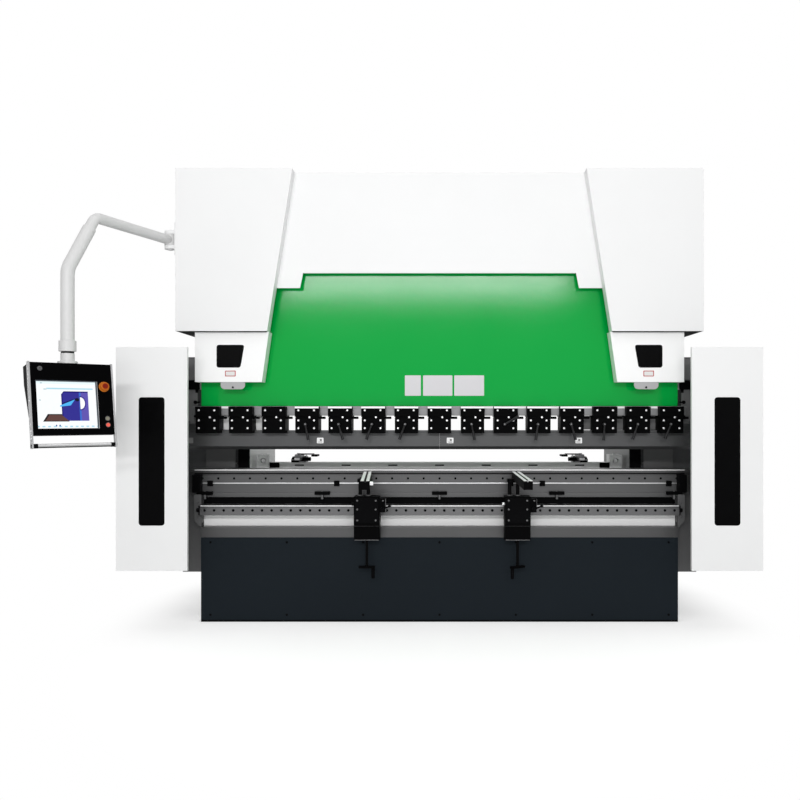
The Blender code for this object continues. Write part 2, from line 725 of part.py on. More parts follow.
def head_cover(label, side):
    slope = (COVER_IN_BOTTOM - COVER_IN_TOP) / (COVER_TOP - COVER_BOTTOM)
    below = COVER_BOTTOM - 0.05
    outer = sided(
        [
            (COVER_IN_TOP, COVER_TOP),
            (COVER_X, COVER_TOP),
            (COVER_X, COVER_BOTTOM),
            (COVER_IN_BOTTOM, COVER_BOTTOM),
        ],
        side,
    )
    inner = sided(
        [
            (COVER_IN_TOP + SHEET + slope * SHEET, COVER_TOP - SHEET),
            (COVER_X - SHEET, COVER_TOP - SHEET),
            (COVER_X - SHEET, below),
            (COVER_IN_BOTTOM + SHEET + slope * 0.05, below),
        ],
        side,
    )
    shell = outline(outer, COVER_FRONT, COVER_BACK, "XZ")
    hollow = outline(inner, COVER_FRONT + SHEET, COVER_BACK + 0.05, "XZ")
    passage = sided_box(
        side,
        COVER_IN_TOP - 0.10,
        PANEL_HALF + 0.02,
        (PANEL_FRONT - GAP, COVER_BACK + 0.05),
        (below, COVER_TOP - SHEET),
    )
    finish(cut(shell, hollow, passage), label + "_head_cover", "white_paint", machine)


def cylinder_shroud(label, side):
    top = COVER_BOTTOM - GAP
    rise = top - SHROUD_BOTTOM
    slope = (SHROUD_WIDTH_TOP - SHROUD_WIDTH_BOTTOM) / rise
    outer = sided(
        [
            (SHROUD_X, top),
            (SHROUD_X, SHROUD_BOTTOM),
            (SHROUD_X - SHROUD_WIDTH_BOTTOM, SHROUD_BOTTOM),
            (SHROUD_X - SHROUD_WIDTH_TOP, top),
        ],
        side,
    )
    above = 0.05
    inner = sided(
        [
            (SHROUD_X - SHEET, top + above),
            (SHROUD_X - SHEET, SHROUD_BOTTOM + SHEET),
            (SHROUD_X - SHROUD_WIDTH_BOTTOM + SHEET, SHROUD_BOTTOM + SHEET),
            (SHROUD_X - SHROUD_WIDTH_TOP + SHEET - slope * above, top + above),
        ],
        side,
    )
    shell = outline(outer, SHROUD_FRONT, SHROUD_BACK, "XZ")
    hollow = outline(inner, SHROUD_FRONT + SHEET, SHROUD_BACK + 0.05, "XZ")
    finish(cut(shell, hollow), label + "_cylinder_shroud", "white_paint", machine)


# Hinges: a bored knuckle on the leaf that moves, between two knuckles on a fixed pin

def hinge_heights(low, high):
    """Middles of the two hinges on a leaf between these heights."""
    inset = (high - low) / 6
    return (low + inset, high - inset)


def moving_knuckle(x, y, z):
    half = KNUCKLE_LENGTH / 2
    return rod((x, y, z - half), (x, y, z + half), KNUCKLE_RADIUS, 20)


def moving_bore(x, y, z):
    return rod((x, y, z - KNUCKLE_LENGTH), (x, y, z + KNUCKLE_LENGTH), PIN_RADIUS + PIN_PLAY, 20)


def fixed_knuckles(x, y, z, leaf_x, leaf_y):
    """The two outer knuckles, their pin, and the leaves that carry them from the fixed plate."""
    length = KNUCKLE_LENGTH * 0.6
    shift = KNUCKLE_LENGTH / 2 + GAP + length / 2
    pieces = [rod((x, y, z - shift), (x, y, z + shift), PIN_RADIUS, 20)]
    for middle in (z - shift, z + shift):
        low, high = middle - length / 2, middle + length / 2
        pieces.append(rod((x, y, low), (x, y, high), KNUCKLE_RADIUS, 20))
        x_range = sorted((leaf_x, x))
        pieces.append(box((x_range[0], leaf_y[0], low), (x_range[1], leaf_y[1], high)))
    return pieces


# Side guards

def guard_bracket(label, side):
    edge = GUARD_HINGE_X - KNUCKLE_RADIUS - 0.006
    plate = sided_box(side, FRAME_OUT + GAP, edge, BRACKET_Y, BRACKET_Z)
    pieces = []
    for z in hinge_heights(*BRACKET_Z):
        leaf = (GUARD_HINGE_Y - 0.006, GUARD_HINGE_Y)
        pieces += fixed_knuckles(GUARD_HINGE_X * side, GUARD_HINGE_Y, z, (edge - 0.02) * side, leaf)
    finish(join(plate, *pieces), label + "_guard_bracket", "frame_paint", machine)


def side_guard(label, side):
    hinge = (GUARD_HINGE_X * side, GUARD_HINGE_Y)
    back = GUARD_FRONT + GUARD_RETURN
    path = sided(
        [
            (HALF_BED, back),
            (HALF_BED, GUARD_FRONT),
            (GUARD_X, GUARD_FRONT),
            (GUARD_X, GUARD_HINGE_Y),
            (GUARD_X - SHEET, GUARD_HINGE_Y),
            (GUARD_X - SHEET, GUARD_FRONT + SHEET),
            (HALF_BED + SHEET, GUARD_FRONT + SHEET),
            (HALF_BED + SHEET, back),
        ],
        side,
    )
    shell = outline(path, GUARD_BOTTOM, GUARD_TOP, "XY")
    # The side sheet stops short of the hinge line, except where a knuckle sits.
    heights = hinge_heights(*BRACKET_Z)
    edges = [GUARD_BOTTOM - 0.01]
    for z in heights:
        edges += [z - KNUCKLE_LENGTH / 2, z + KNUCKLE_LENGTH / 2]
    edges.append(GUARD_TOP + 0.01)
    reliefs = []
    for low, high in zip(edges[::2], edges[1::2]):
        y = (GUARD_HINGE_Y - KNUCKLE_RADIUS - 0.004, GUARD_HINGE_Y + 0.01)
        reliefs.append(sided_box(side, GUARD_X - 0.02, GUARD_X + 0.01, y, (low, high)))
    middle = HALF_BED + GUARD_WIDTH / 2
    width, height = WINDOW_SIZE
    window_top = GUARD_TOP - WINDOW_DROP
    opening = sided_box(
        side,
        middle - width / 2,
        middle + width / 2,
        (GUARD_FRONT - 0.01, GUARD_FRONT + 0.01),
        (window_top - height, window_top),
    )
    cut(shell, *reliefs, opening)
    join(shell, *[moving_knuckle(*hinge, z) for z in heights])
    cut(shell, *[moving_bore(*hinge, z) for z in heights])
    holder = guard_axes[label]
    finish(shell, label + "_guard", "white_paint", holder, holder.location)

    pane = sided_box(
        side,
        middle - width / 2 + GAP,
        middle + width / 2 - GAP,
        (GUARD_FRONT + 0.0005, GUARD_FRONT + 0.006),
        (window_top - height + GAP, window_top - GAP),
    )
    finish(pane, label + "_guard_window", "window_plastic", holder)


# Sheet supports

def support(label, x, swivel, crank_turn):
    slide = axis_empty(label + "_support_slide", (x, COLUMN_Y, CARRIAGE_Z[0]), machine)
    lift = axis_empty(label + "_support_lift", (x, COLUMN_Y, ARM_Z[0]), slide)
    back = RAIL_FRONT - GAP
    front = back - CARRIAGE_DEPTH
    half = CARRIAGE_WIDTH / 2
    low, high = CARRIAGE_Z
    rail_top = RAIL_BOTTOM + RAIL_HEIGHT

    body = box((x - half, front, low), (x + half, back, high))
    upper_lip = box(
        (x - half, back - PAST, rail_top + GAP), (x + half, RAIL_FRONT + HOOK_LIP, rail_top + HOOK_LIP)
    )
    lower_lip = box(
        (x - half, back - PAST, RAIL_BOTTOM - HOOK_LIP),
        (x + half, RAIL_FRONT + HOOK_LIP, RAIL_BOTTOM - GAP),
    )
    lug_back = back - 0.04
    lug = box((x + half - PAST, front, LUG_Z[0]), (x + half + LUG_WIDTH, lug_back, LUG_Z[1]))
    step_drop, step_depth = CARRIAGE_STEP
    step = box(
        (x - half - PAST, front - PAST, low - PAST),
        (x + half + PAST, front + step_depth, RAIL_BOTTOM - step_drop),
    )
    bores = []
    for offset in COLUMN_OFFSETS:
        place = x + offset
        bores.append(
            rod((place, COLUMN_Y, low - PAST), (place, COLUMN_Y, high + PAST), COLUMN_RADIUS + BORE_PLAY)
        )
    screw_top = low + SCREW_REACH
    bores.append(rod((x, SCREW_Y, low - PAST), (x, SCREW_Y, screw_top), SCREW_RADIUS + BORE_PLAY))
    cut(join(body, upper_lip, lower_lip, lug), step, *bores)
    finish(body, label + "_support_carriage", "black_oxide", slide, slide.location)

    beam = box(
        (-ARM_WIDTH / 2, ARM_Y[0] - COLUMN_Y, ARM_Z[0]), (ARM_WIDTH / 2, ARM_Y[1] - COLUMN_Y, ARM_Z[1])
    )
    groove_width, groove_depth = ARM_GROOVE
    groove = box(
        (-groove_width / 2, ARM_Y[0] - COLUMN_Y - PAST, ARM_Z[1] - groove_depth),
        (groove_width / 2, ARM_Y[1] - COLUMN_Y + PAST, ARM_Z[1] + PAST),
    )
    place = Matrix.Translation((x, COLUMN_Y, 0)) @ Matrix.Rotation(math.radians(swivel), 4, "Z")
    beam.data.transform(place)
    groove.data.transform(place)
    columns = []
    foot = low + LIFT_DOWN + 0.004
    for offset in COLUMN_OFFSETS:
        columns.append(
            rod((x + offset, COLUMN_Y, foot), (x + offset, COLUMN_Y, ARM_Z[0] + PAST), COLUMN_RADIUS)
        )
    left, right = COLUMN_OFFSETS
    half_depth, drop, left_margin, right_margin = SADDLE
    saddle = box(
        (x + left - COLUMN_RADIUS - left_margin, COLUMN_Y - half_depth, ARM_Z[0] - drop),
        (x + right + COLUMN_RADIUS + right_margin, COLUMN_Y + half_depth, ARM_Z[0] + PAST),
    )
    cut(join(beam, saddle, *columns), groove)
    finish(beam, label + "_support_arm", "black_oxide", lift, lift.location)

    turn = axis_empty(label + "_crank_turn", (x, SCREW_Y, CRANK_Z), slide)
    screw = rod((x, SCREW_Y, CRANK_Z - PAST / 2), (x, SCREW_Y, screw_top - PAST), SCREW_RADIUS)
    length, width, height = CRANK_BAR
    grip_radius, grip_length, throw = CRANK_GRIP
    bar = box((-length / 2, -width / 2, -height / 2), (length / 2, width / 2, height / 2))
    grip = rod((throw, 0, 0), (throw, 0, -height / 2 - grip_length), grip_radius, 16)
    place = Matrix.Translation((x, SCREW_Y, CRANK_Z)) @ Matrix.Rotation(math.radians(crank_turn), 4, "Z")
    bar.data.transform(place)
    grip.data.transform(place)
    finish(join(screw, bar, grip), label + "_crank", "black_oxide", turn, turn.location)

    pivot_x, pivot_z = x + LEVER_PIVOT[0], RAIL_BOTTOM + LEVER_PIVOT[1]
    hub_radius, hub_length = LEVER_HUB
    hub_front = front - hub_length
    hub = rod((pivot_x, front - GAP, pivot_z), (pivot_x, hub_front, pivot_z), hub_radius, 16)
    across, up, stick_radius = LEVER_STICK
    tip = (pivot_x + across, hub_front - 0.004, pivot_z + up)
    stick = rod((pivot_x, hub_front + 0.006, pivot_z), tip, stick_radius, 12)
    finish(
        join(hub, stick, ball(tip, LEVER_KNOB)),
        label + "_lock_lever",
        "black_plastic",
        slide,
        (pivot_x, front, pivot_z),
    )


# Back gauge

def gauge_rail(label, side):
    reach = FRAME_IN - GAP
    rail = sided_box(side, reach - GAUGE_RAIL_WIDTH, reach, GAUGE_RAIL_Y, GAUGE_RAIL_Z)
    finish(rail, label + "_gauge_rail", "bright_steel", machine)


def back_gauge():
    half = FRAME_IN - GAUGE_CLEARANCE
    post_width, post_height = GAUGE_POST
    low = GAUGE_RAIL_Z[1] + GAP
    bar_top = low + GAUGE_BAR_HEIGHT
    carriage = box((-half, GAUGE_Y[0], low), (half, GAUGE_Y[1], bar_top))
    posts = []
    for side in SIDES.values():
        z = (bar_top - PAST, low + post_height)
        posts.append(sided_box(side, half - post_width, half, GAUGE_Y, z))
    finish(join(carriage, *posts), "gauge_carriage", "bright_steel", gauge_axis)

    reach = half - post_width - GAP
    beam_top = bar_top + GAP + GAUGE_BEAM_HEIGHT
    y = (GAUGE_Y[0] + PAST, GAUGE_Y[1] - 2 * PAST)
    beam = box((-reach, y[0], bar_top + GAP), (reach, y[1], beam_top))
    finish(beam, "gauge_beam", "silver_aluminium", gauge_lift)
    for label, side in SIDES.items():
        x = FINGER_X * side
        w = FINGER_WIDTH / 2
        block = box((x - w, y[0] - PAST, beam_top + GAP), (x + w, y[1], beam_top + FINGER_BLOCK))
        lever_half, lever_reach, underside, top = FINGER_LEVER
        lever = box(
            (x - lever_half, y[0] - lever_reach, beam_top + underside),
            (x + lever_half, y[0] + 4 * PAST, beam_top + top),
        )
        finish(join(block, lever), label + "_gauge_finger", "grey_steel", gauge_lift)


# Power pack and electrical cabinet

def power_pack():
    front = UPPER_ARM_FRONT + BEAM_THICKNESS + GAP
    low, high = TANK_Z
    tank = box((-TANK_HALF, front, low), (TANK_HALF, front + TANK_DEPTH, high))
    filler_x, filler_y, filler_radius, filler_height = FILLER
    cap = rod(
        (filler_x, front + filler_y, high - PAST),
        (filler_x, front + filler_y, high + filler_height),
        filler_radius,
    )
    finish(join(tank, cap), "oil_tank", "frame_paint", machine)

    y = front + TANK_DEPTH / 2
    base = high + GAP
    foot_half, foot_depth, foot_height, lift = MOTOR_FOOT
    height = base + lift + MOTOR_RADIUS
    half = MOTOR_LENGTH / 2
    motor = rod((MOTOR_X - half, y, height), (MOTOR_X + half, y, height), MOTOR_RADIUS, 28)
    foot = box(
        (MOTOR_X - foot_half, y - foot_depth, base), (MOTOR_X + foot_half, y + foot_depth, base + foot_height)
    )
    pump_length, pump_radius = PUMP
    end = MOTOR_X - half
    pump = rod((end - pump_length, y, height), (end + 2 * PAST, y, height), pump_radius)
    finish(join(motor, foot, pump), "pump_motor", "motor_blue", machine)

    width, depth, rise = VALVE_SIZE
    low = (VALVE_X - width / 2, y - depth / 2, base)
    valve = box(low, (VALVE_X + width / 2, y + depth / 2, base + rise))
    finish(valve, "valve_block", "bright_steel", machine)


def cabinet():
    low, high = CABINET_Z
    body = box((FRAME_OUT + GAP, CABINET_Y[0], low), (CABINET_X, CABINET_Y[1], high))
    hinge_x = CABINET_X + KNUCKLE_RADIUS
    hinge_y = CABINET_Y[1] + 0.002
    pieces = []
    heights = hinge_heights(*CABINET_Z)
    for z in heights:
        pieces += fixed_knuckles(hinge_x, hinge_y, z, CABINET_X - 0.01, (hinge_y - 0.010, hinge_y - 0.004))
    finish(join(body, *pieces), "electrical_cabinet", "white_paint", machine)

    edge = hinge_y - KNUCKLE_RADIUS - 0.004
    inner = CABINET_X + GAP
    door = box((inner, CABINET_Y[0], low + 0.01), (inner + DOOR_THICKNESS, edge, high - 0.01))
    knuckles = []
    for z in heights:
        half = KNUCKLE_LENGTH / 2
        knuckles.append(moving_knuckle(hinge_x, hinge_y, z))
        knuckles.append(
            box((hinge_x + 0.002, edge - 0.01, z - half), (hinge_x + 0.008, hinge_y, z + half))
        )
    join(door, *knuckles)
    cut(door, *[moving_bore(hinge_x, hinge_y, z) for z in heights])
    finish(door, "cabinet_door", "white_paint", door_axis, door_axis.location)


# Control arm and head

def arm_bracket():
    face = -COVER_X - GAP
    half = HUB_HEIGHT / 2
    x, y, z = ARM_PIVOT
    plate = box((face - 0.012, y - 0.06, z - 0.10), (face, y + 0.06, z + 0.10))
    pieces = [rod((x, y, z - half - 0.01), (x, y, z + half + 0.01), PIVOT_RADIUS, 24)]
    for low in (z - half - GAP - EAR_THICKNESS, z + half + GAP):
        high = low + EAR_THICKNESS
        pieces.append(box((x, y - 0.035, low), (face - 0.006, y + 0.035, high)))
        pieces.append(rod((x, y, low), (x, y, high), HUB_RADIUS - 0.0005, 24))
    finish(join(plate, *pieces), "arm_bracket", "white_paint", machine)


def swivel_arm():
    x, y, z = ARM_PIVOT
    half = HUB_HEIGHT / 2
    hub = rod((x, y, z - half), (x, y, z + half), HUB_RADIUS, 24)
    elbow = Vector((*ARM_ELBOW, ARM_HEIGHT))
    knee = Vector((*RISER, RISER_TOP))
    foot = Vector((*RISER, RISER_BOTTOM + 0.01))
    level = tube(rounded([ARM_PIVOT, elbow, elbow.lerp(knee, 0.5)], ELBOW_RADIUS), LEVEL_RADIUS)
    riser = tube(rounded([elbow.lerp(knee, 0.22), knee, foot], KNEE_RADIUS), RISER_RADIUS)
    collar = rod((*RISER, RISER_BOTTOM), (*RISER, RISER_BOTTOM + COLLAR_HEIGHT), COLLAR_RADIUS, 28)
    bore = rod((x, y, z - half - 0.01), (x, y, z + half + 0.01), PIVOT_RADIUS + PIN_PLAY, 24)
    cut(join(hub, level, riser, collar), bore)
    finish(hub, "swivel_arm", "white_paint", arm_axis, arm_axis.location)


def head_frame():
    """Local x across the face, y into the head, z up the face, from the middle of the top edge."""
    turn = Matrix.Rotation(math.radians(HEAD_YAW), 4, "Z")
    forward = turn @ Vector((0, -HEAD_SET_BACK, 0))
    place = Matrix.Translation((RISER[0] + forward.x, RISER[1] + forward.y, HEAD_TOP))
    return place @ turn @ Matrix.Rotation(math.radians(-HEAD_PITCH), 4, "X")


def on_head(shape):
    shape.data.transform(head_frame())
    return shape


def control_head():
    half = HEAD_WIDTH / 2
    profile = [
        (0, 0),
        (0, -HEAD_HEIGHT),
        (HEAD_FOOT, -HEAD_HEIGHT),
        (HEAD_DEPTH, -HEAD_TAPER),
        (HEAD_DEPTH, 0),
    ]
    shell = on_head(outline(profile, -half, half, "YZ"))
    neck = rod((*RISER, HEAD_TOP - 0.05), (*RISER, RISER_BOTTOM - GAP), RISER_RADIUS, 28)
    flange = rod((*RISER, HEAD_TOP - 0.03), (*RISER, HEAD_TOP + 0.012), COLLAR_RADIUS + 0.006, 28)
    across, down = STOP_PLACE
    ring_radius, ring_height = STOP_RING
    ring = on_head(rod((across, 0.002, down), (across, -ring_height, down), ring_radius, 24))
    stem_bore = on_head(rod((across, 0.04, down), (across, -0.01, down), STOP_STEM + PIN_PLAY))
    bores = [stem_bore]
    for across, down in BUTTON_PLACES.values():
        bores.append(
            on_head(rod((across, BUTTON_DEPTH, down), (across, -0.01, down), BUTTON_RADIUS + PIN_PLAY))
        )
    cut(join(shell, neck, flange, ring), *bores)
    finish(shell, "control_head", "black_plastic", head_axis, head_axis.location)


def head_handle():
    half = HEAD_WIDTH / 2 + GAP
    width, depth = HANDLE_RAIL
    low = -HEAD_HEIGHT - HANDLE_DROP - HANDLE_RADIUS
    rails = []
    for side in SIDES.values():
        x = sorted((half * side, (half + width) * side))
        rails.append(on_head(box((x[0], -0.004, low), (x[1], depth - 0.004, 0.003))))
    y = depth / 2 - 0.004
    z = -HEAD_HEIGHT - HANDLE_DROP
    reach = half + width / 2
    bar = on_head(rod((-reach, y, z), (reach, y, z), HANDLE_RADIUS * 0.9, 20))
    finish(join(bar, *rails), "head_handle", "silver_aluminium", head_axis)


def head_buttons():
    frame = head_frame()
    across, down = STOP_PLACE
    cap_radius, cap_height = STOP_CAP
    rise = STOP_RING[1] + STOP_TRAVEL + 0.001
    stem = on_head(rod((across, 0.025, down), (across, -rise - 0.002, down), STOP_STEM))
    cap = on_head(rod((across, -rise, down), (across, -rise - cap_height, down), cap_radius, 24))
    finish(join(stem, cap), "emergency_stop", "stop_red", head_axis, frame @ Vector((across, 0, down)))
    for name, (across, down) in BUTTON_PLACES.items():
        rear = BUTTON_DEPTH - 0.004
        button = on_head(rod((across, rear, down), (across, -BUTTON_RISE, down), BUTTON_RADIUS, 16))
        paint = "button_grey" if name == "start_button" else "button_red"
        finish(button, name, paint, head_axis, frame @ Vector((across, 0, down)))


clear_scene()
parts = new_collection("press_brake")
shapes = new_collection("shapes")
cutters = new_collection("cutters")

machine = axis_empty("machine", (0, 0, 0))
ram_axis = axis_empty("ram_stroke", (0, RAM_MIDDLE, RAM_BOTTOM), machine)
gauge_axis = axis_empty("gauge_depth", (0, GAUGE_Y[0], GAUGE_RAIL_Z[1]), machine)
gauge_lift = axis_empty("gauge_height", (0, GAUGE_Y[0], GAUGE_RAIL_Z[1]), gauge_axis)
arm_axis = axis_empty("control_arm_swing", ARM_PIVOT, machine)
head_axis = axis_empty("control_head_swivel", (*RISER, RISER_BOTTOM), arm_axis)
door_place = (CABINET_X + KNUCKLE_RADIUS, CABINET_Y[1] + 0.002, CABINET_Z[0])
door_axis = axis_empty("cabinet_door_swing", door_place, machine)
guard_axes = {
    label: axis_empty(label + "_guard_swing", (GUARD_HINGE_X * side, GUARD_HINGE_Y, GUARD_BOTTOM), machine)
    for label, side in SIDES.items()
}

bed()
table()
cross_beams()
for label, side in SIDES.items():
    side_frame(label, side)
    ram_guide(label, side)
    hydraulic_cylinder(label, side)
    head_cover(label, side)
    cylinder_shroud(label, side)
    guard_bracket(label, side)
    side_guard(label, side)
    gauge_rail(label, side)
ram()
clamp_row()
punches()
top_panel()
for label, x, swivel, crank_turn in SUPPORT_PLACES:
    support(label, x, swivel, crank_turn)
back_gauge()
power_pack()
cabinet()
arm_bracket()
swivel_arm()
control_head()
head_handle()
head_buttons()
bpy.data.collections.remove(shapes)
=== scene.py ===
# Press brake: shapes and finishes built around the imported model
import json
import math

import bpy
from mathutils import Euler, Matrix, Vector

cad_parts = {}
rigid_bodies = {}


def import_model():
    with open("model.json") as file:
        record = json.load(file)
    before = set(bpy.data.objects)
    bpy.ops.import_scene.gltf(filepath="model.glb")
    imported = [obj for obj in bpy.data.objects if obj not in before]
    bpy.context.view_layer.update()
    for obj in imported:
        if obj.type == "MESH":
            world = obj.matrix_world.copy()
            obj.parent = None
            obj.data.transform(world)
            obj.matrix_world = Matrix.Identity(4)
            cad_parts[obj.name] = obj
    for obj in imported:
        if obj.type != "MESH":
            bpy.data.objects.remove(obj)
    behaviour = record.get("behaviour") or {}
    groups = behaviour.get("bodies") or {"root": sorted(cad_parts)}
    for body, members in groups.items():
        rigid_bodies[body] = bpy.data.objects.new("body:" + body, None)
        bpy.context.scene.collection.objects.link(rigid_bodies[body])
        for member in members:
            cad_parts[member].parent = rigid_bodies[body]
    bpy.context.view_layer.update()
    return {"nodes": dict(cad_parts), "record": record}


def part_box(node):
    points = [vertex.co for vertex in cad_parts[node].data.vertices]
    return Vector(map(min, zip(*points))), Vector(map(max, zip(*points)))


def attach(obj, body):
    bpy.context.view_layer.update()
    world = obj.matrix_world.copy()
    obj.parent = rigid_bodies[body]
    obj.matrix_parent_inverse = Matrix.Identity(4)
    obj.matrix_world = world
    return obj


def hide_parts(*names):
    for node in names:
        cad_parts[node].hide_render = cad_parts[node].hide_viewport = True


for leftOver in list(bpy.data.objects):
    bpy.data.objects.remove(leftOver, do_unlink=True)
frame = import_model()
bodyOf = {}
for body, members in frame["record"]["behaviour"]["bodies"].items():
    for member in members:
        bodyOf[member] = body
sides = {"left": -1, "right": 1}
print("frame loaded,", len(frame["nodes"]), "nodes")


# Selecting and shaping

def chooseOnly(*objs):
    bpy.ops.object.select_all(action="DESELECT")
    for obj in objs:
        obj.select_set(True)
    bpy.context.view_layer.objects.active = objs[0]


def settle(obj, name=None):
    obj.name = obj.data.name = name or obj.name
    chooseOnly(obj)
    bpy.ops.object.transform_apply(location=True, rotation=True, scale=True)
    return obj


def startCube(low, high):
    middle = [(a + b) / 2 for a, b in zip(low, high)]
    bpy.ops.mesh.primitive_cube_add(size=1, location=middle)
    obj = bpy.context.object
    obj.scale = [abs(b - a) for a, b in zip(low, high)]
    return settle(obj)


def sideCube(side, x0, x1, y0, y1, z0, z1):
    # a box whose x values are measured outwards from the machine's middle
    return startCube((x0 * side, y0, z0), (x1 * side, y1, z1))


def runEnds(run):
    # both ends of a run given by x, y and z; a coordinate that changes is a pair
    pairs = [c if isinstance(c, tuple) else (c, c) for c in run]
    return [Vector(end) for end in zip(*pairs)]


def startRod(run, radius, sides=24, tip=None):
    # a cylinder along the run, or a cone where tip gives the far radius
    start, end = runEnds(run)
    bpy.ops.mesh.primitive_cone_add(
        vertices=sides, radius1=radius, radius2=radius if tip is None else tip,
        depth=(end - start).length, location=(start + end) / 2,
        rotation=(end - start).to_track_quat("Z", "Y").to_euler(),
    )
    return settle(bpy.context.object)


def startBall(centre, radius, segments=20, rings=12):
    bpy.ops.mesh.primitive_uv_sphere_add(
        segments=segments, ring_count=rings, radius=radius, location=centre)
    return settle(bpy.context.object)


def shape(obj, kind, test, *steps):
    # picks vertices, edges or polygons by place, then runs the edit steps on them
    chooseOnly(obj)
    mesh = obj.data
    kinds = ("vertices", "edges", "polygons")
    bpy.context.tool_settings.mesh_select_mode = [kind == k for k in kinds]
    for group in (mesh.vertices, mesh.edges, mesh.polygons):
        group.foreach_set("select", [False] * len(group))
    for part in getattr(mesh, kind):
        if kind == "vertices":
            part.select = test(part.co)
        elif kind == "edges":
            a, b = (mesh.vertices[i].co for i in part.vertices)
            part.select = test((a + b) / 2, b - a)
        else:
            part.select = test(part.center, part.normal)
    bpy.ops.object.mode_set(mode="EDIT")
    for operator, settings in steps:
        operator(**settings)
    bpy.ops.object.mode_set(mode="OBJECT")
    return obj


def bevelled(offset, segments=1):
    return bpy.ops.mesh.bevel, {"offset": offset, "segments": segments}


def inset(thickness, depth):
    return bpy.ops.mesh.inset, {"thickness": thickness, "depth": depth}


def addModifier(obj, kind, **settings):
    chooseOnly(obj)
    made = obj.modifiers.new(kind.lower(), kind)
    for key, value in settings.items():
        setattr(made, key, value)
    bpy.ops.object.modifier_apply(modifier=made.name)
    return obj


def smooth(obj, angle=38):
    chooseOnly(obj)
    bpy.ops.object.shade_smooth_by_angle(angle=math.radians(angle))
    return obj


def softEdges(obj, width, segments=2, angle=32):
    addModifier(obj, "BEVEL", width=width, segments=segments, limit_method="ANGLE",
                angle_limit=math.radians(angle))
    smooth(obj)
    # large flat faces keep their own direction instead of leaning towards the bevels
    return addModifier(obj, "WEIGHTED_NORMAL", keep_sharp=True)


def softCube(low, high, width=0.0015, segments=2):
    return softEdges(startCube(low, high), width, segments)


def joinUp(name, *objs):
    chooseOnly(*objs)
    if len(objs) > 1:
        bpy.ops.object.join()
    obj = bpy.context.view_layer.objects.active
    obj.name = obj.data.name = name
    return obj


def cutWith(obj, *cutters):
    for cutter in cutters:
        addModifier(obj, "BOOLEAN", operation="DIFFERENCE", solver="EXACT", object=cutter,
                    use_self=True)
    for cutter in cutters:
        bpy.data.objects.remove(cutter, do_unlink=True)
    return obj


def repeat(obj, count, step):
    return addModifier(obj, "ARRAY", count=count, use_relative_offset=False,
                       use_constant_offset=True, constant_offset_displace=step)


def bothSides(obj):
    # the mirror image across the machine's middle joins the piece
    return addModifier(obj, "MIRROR", use_axis=(True, False, False), use_mirror_merge=False)


def plate(corners, thickness, radius=0.0, segments=6):
    # a flat plate from four corners, its corners rounded, its thickness behind the face
    corners = [Vector(c) for c in corners]
    middle = sum(corners, Vector()) / 4
    bpy.ops.mesh.primitive_plane_add(size=1, location=middle)
    obj = settle(bpy.context.object)
    order = [0, 1, 3, 2]
    for index, corner in zip(order, corners):
        spot = obj.data.vertices[index].co.copy()
        shape(obj, "vertices", lambda co, spot=spot: (co - spot).length < 1e-6,
              (bpy.ops.transform.translate, {"value": corner - spot}))
    steps = []
    if radius:
        steps.append((bpy.ops.mesh.bevel, {"offset": radius, "segments": segments,
                                           "affect": "VERTICES"}))
    shape(obj, "vertices", lambda co: True, *steps)
    addModifier(obj, "SOLIDIFY", thickness=thickness, offset=-1)
    return obj


def facePlate(left, right, low, high, y, thickness, radius, segments=5):
    # a plate facing the front, given by its sides, its lower and upper edges and its depth
    return plate(((left, y, low), (right, y, low), (right, y, high), (left, y, high)),
                 thickness, radius, segments)


def softenedCopy(node, name, width, segments=2, cutters=()):
    # the CAD node's shape, welded, cut and with softened edges
    obj = bpy.data.objects.new(name, frame["nodes"][node].data.copy())
    bpy.context.scene.collection.objects.link(obj)
    chooseOnly(obj)
    bpy.ops.mesh.customdata_custom_splitnormals_clear()
    shape(obj, "vertices", lambda co: True,
          (bpy.ops.mesh.remove_doubles, {"threshold": 0.00002}),
          (bpy.ops.mesh.dissolve_limited, {"angle_limit": math.radians(0.6)}))
    if cutters:
        cutWith(obj, *cutters)
    if width:
        softEdges(obj, width, segments)
    else:
        smooth(obj)
    return obj


def capScrew(run, radius, sides=12):
    # a screw head with a recess in its outer face, which is the run's far end
    obj = startRod(run, radius, sides)
    base, top = runEnds(run)
    axis, depth = (top - base).normalized(), (top - base).length
    shape(obj, "polygons", lambda c, n: n.dot(axis) > 0.9,
          inset(radius * 0.16, depth * 0.1),
          inset(radius * 0.34, 0),
          inset(radius * 0.04, -depth * 0.6))
    return smooth(obj)


def finishPiece(obj, finish, body="press_frame", *replaced):
    obj.data.materials.clear()
    obj.data.materials.append(finish.material)
    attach(obj, body)
    if replaced:
        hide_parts(*replaced)


def dressNode(node, name, finish, width, cutters=()):
    # a softened copy stands for the CAD node
    finishPiece(softenedCopy(node, name, width, cutters=cutters), finish, bodyOf[node], node)


def dress(name, parts, finish, body="press_frame", *replaced):
    # the parts become one named piece
    finishPiece(joinUp(name, *parts), finish, body, *replaced)


# Finishes

class Wire:
    # an output socket; sums and products on it add Math nodes
    def __init__(self, finish, socket):
        self.finish, self.socket = finish, socket

    def math(self, operation, first, second=None):
        return self.finish.math(operation, first, second)

    def __add__(self, other):
        return self.math("ADD", self, other)

    def __sub__(self, other):
        return self.math("SUBTRACT", self, other)

    def __mul__(self, other):
        return self.math("MULTIPLY", self, other)

    def __truediv__(self, other):
        return self.math("DIVIDE", self, other)

    def __gt__(self, other):
        return self.math("GREATER_THAN", self, other)

    def __lt__(self, other):
        return self.math("LESS_THAN", self, other)

    def __abs__(self):
        return self.math("ABSOLUTE", self)

    def wrapped(self, pitch):
        # how far the value is from the nearest whole step of the pitch
        return abs(self.finish.add("ShaderNodeMath", {"operation": "PINGPONG"}, [self, pitch / 2]))


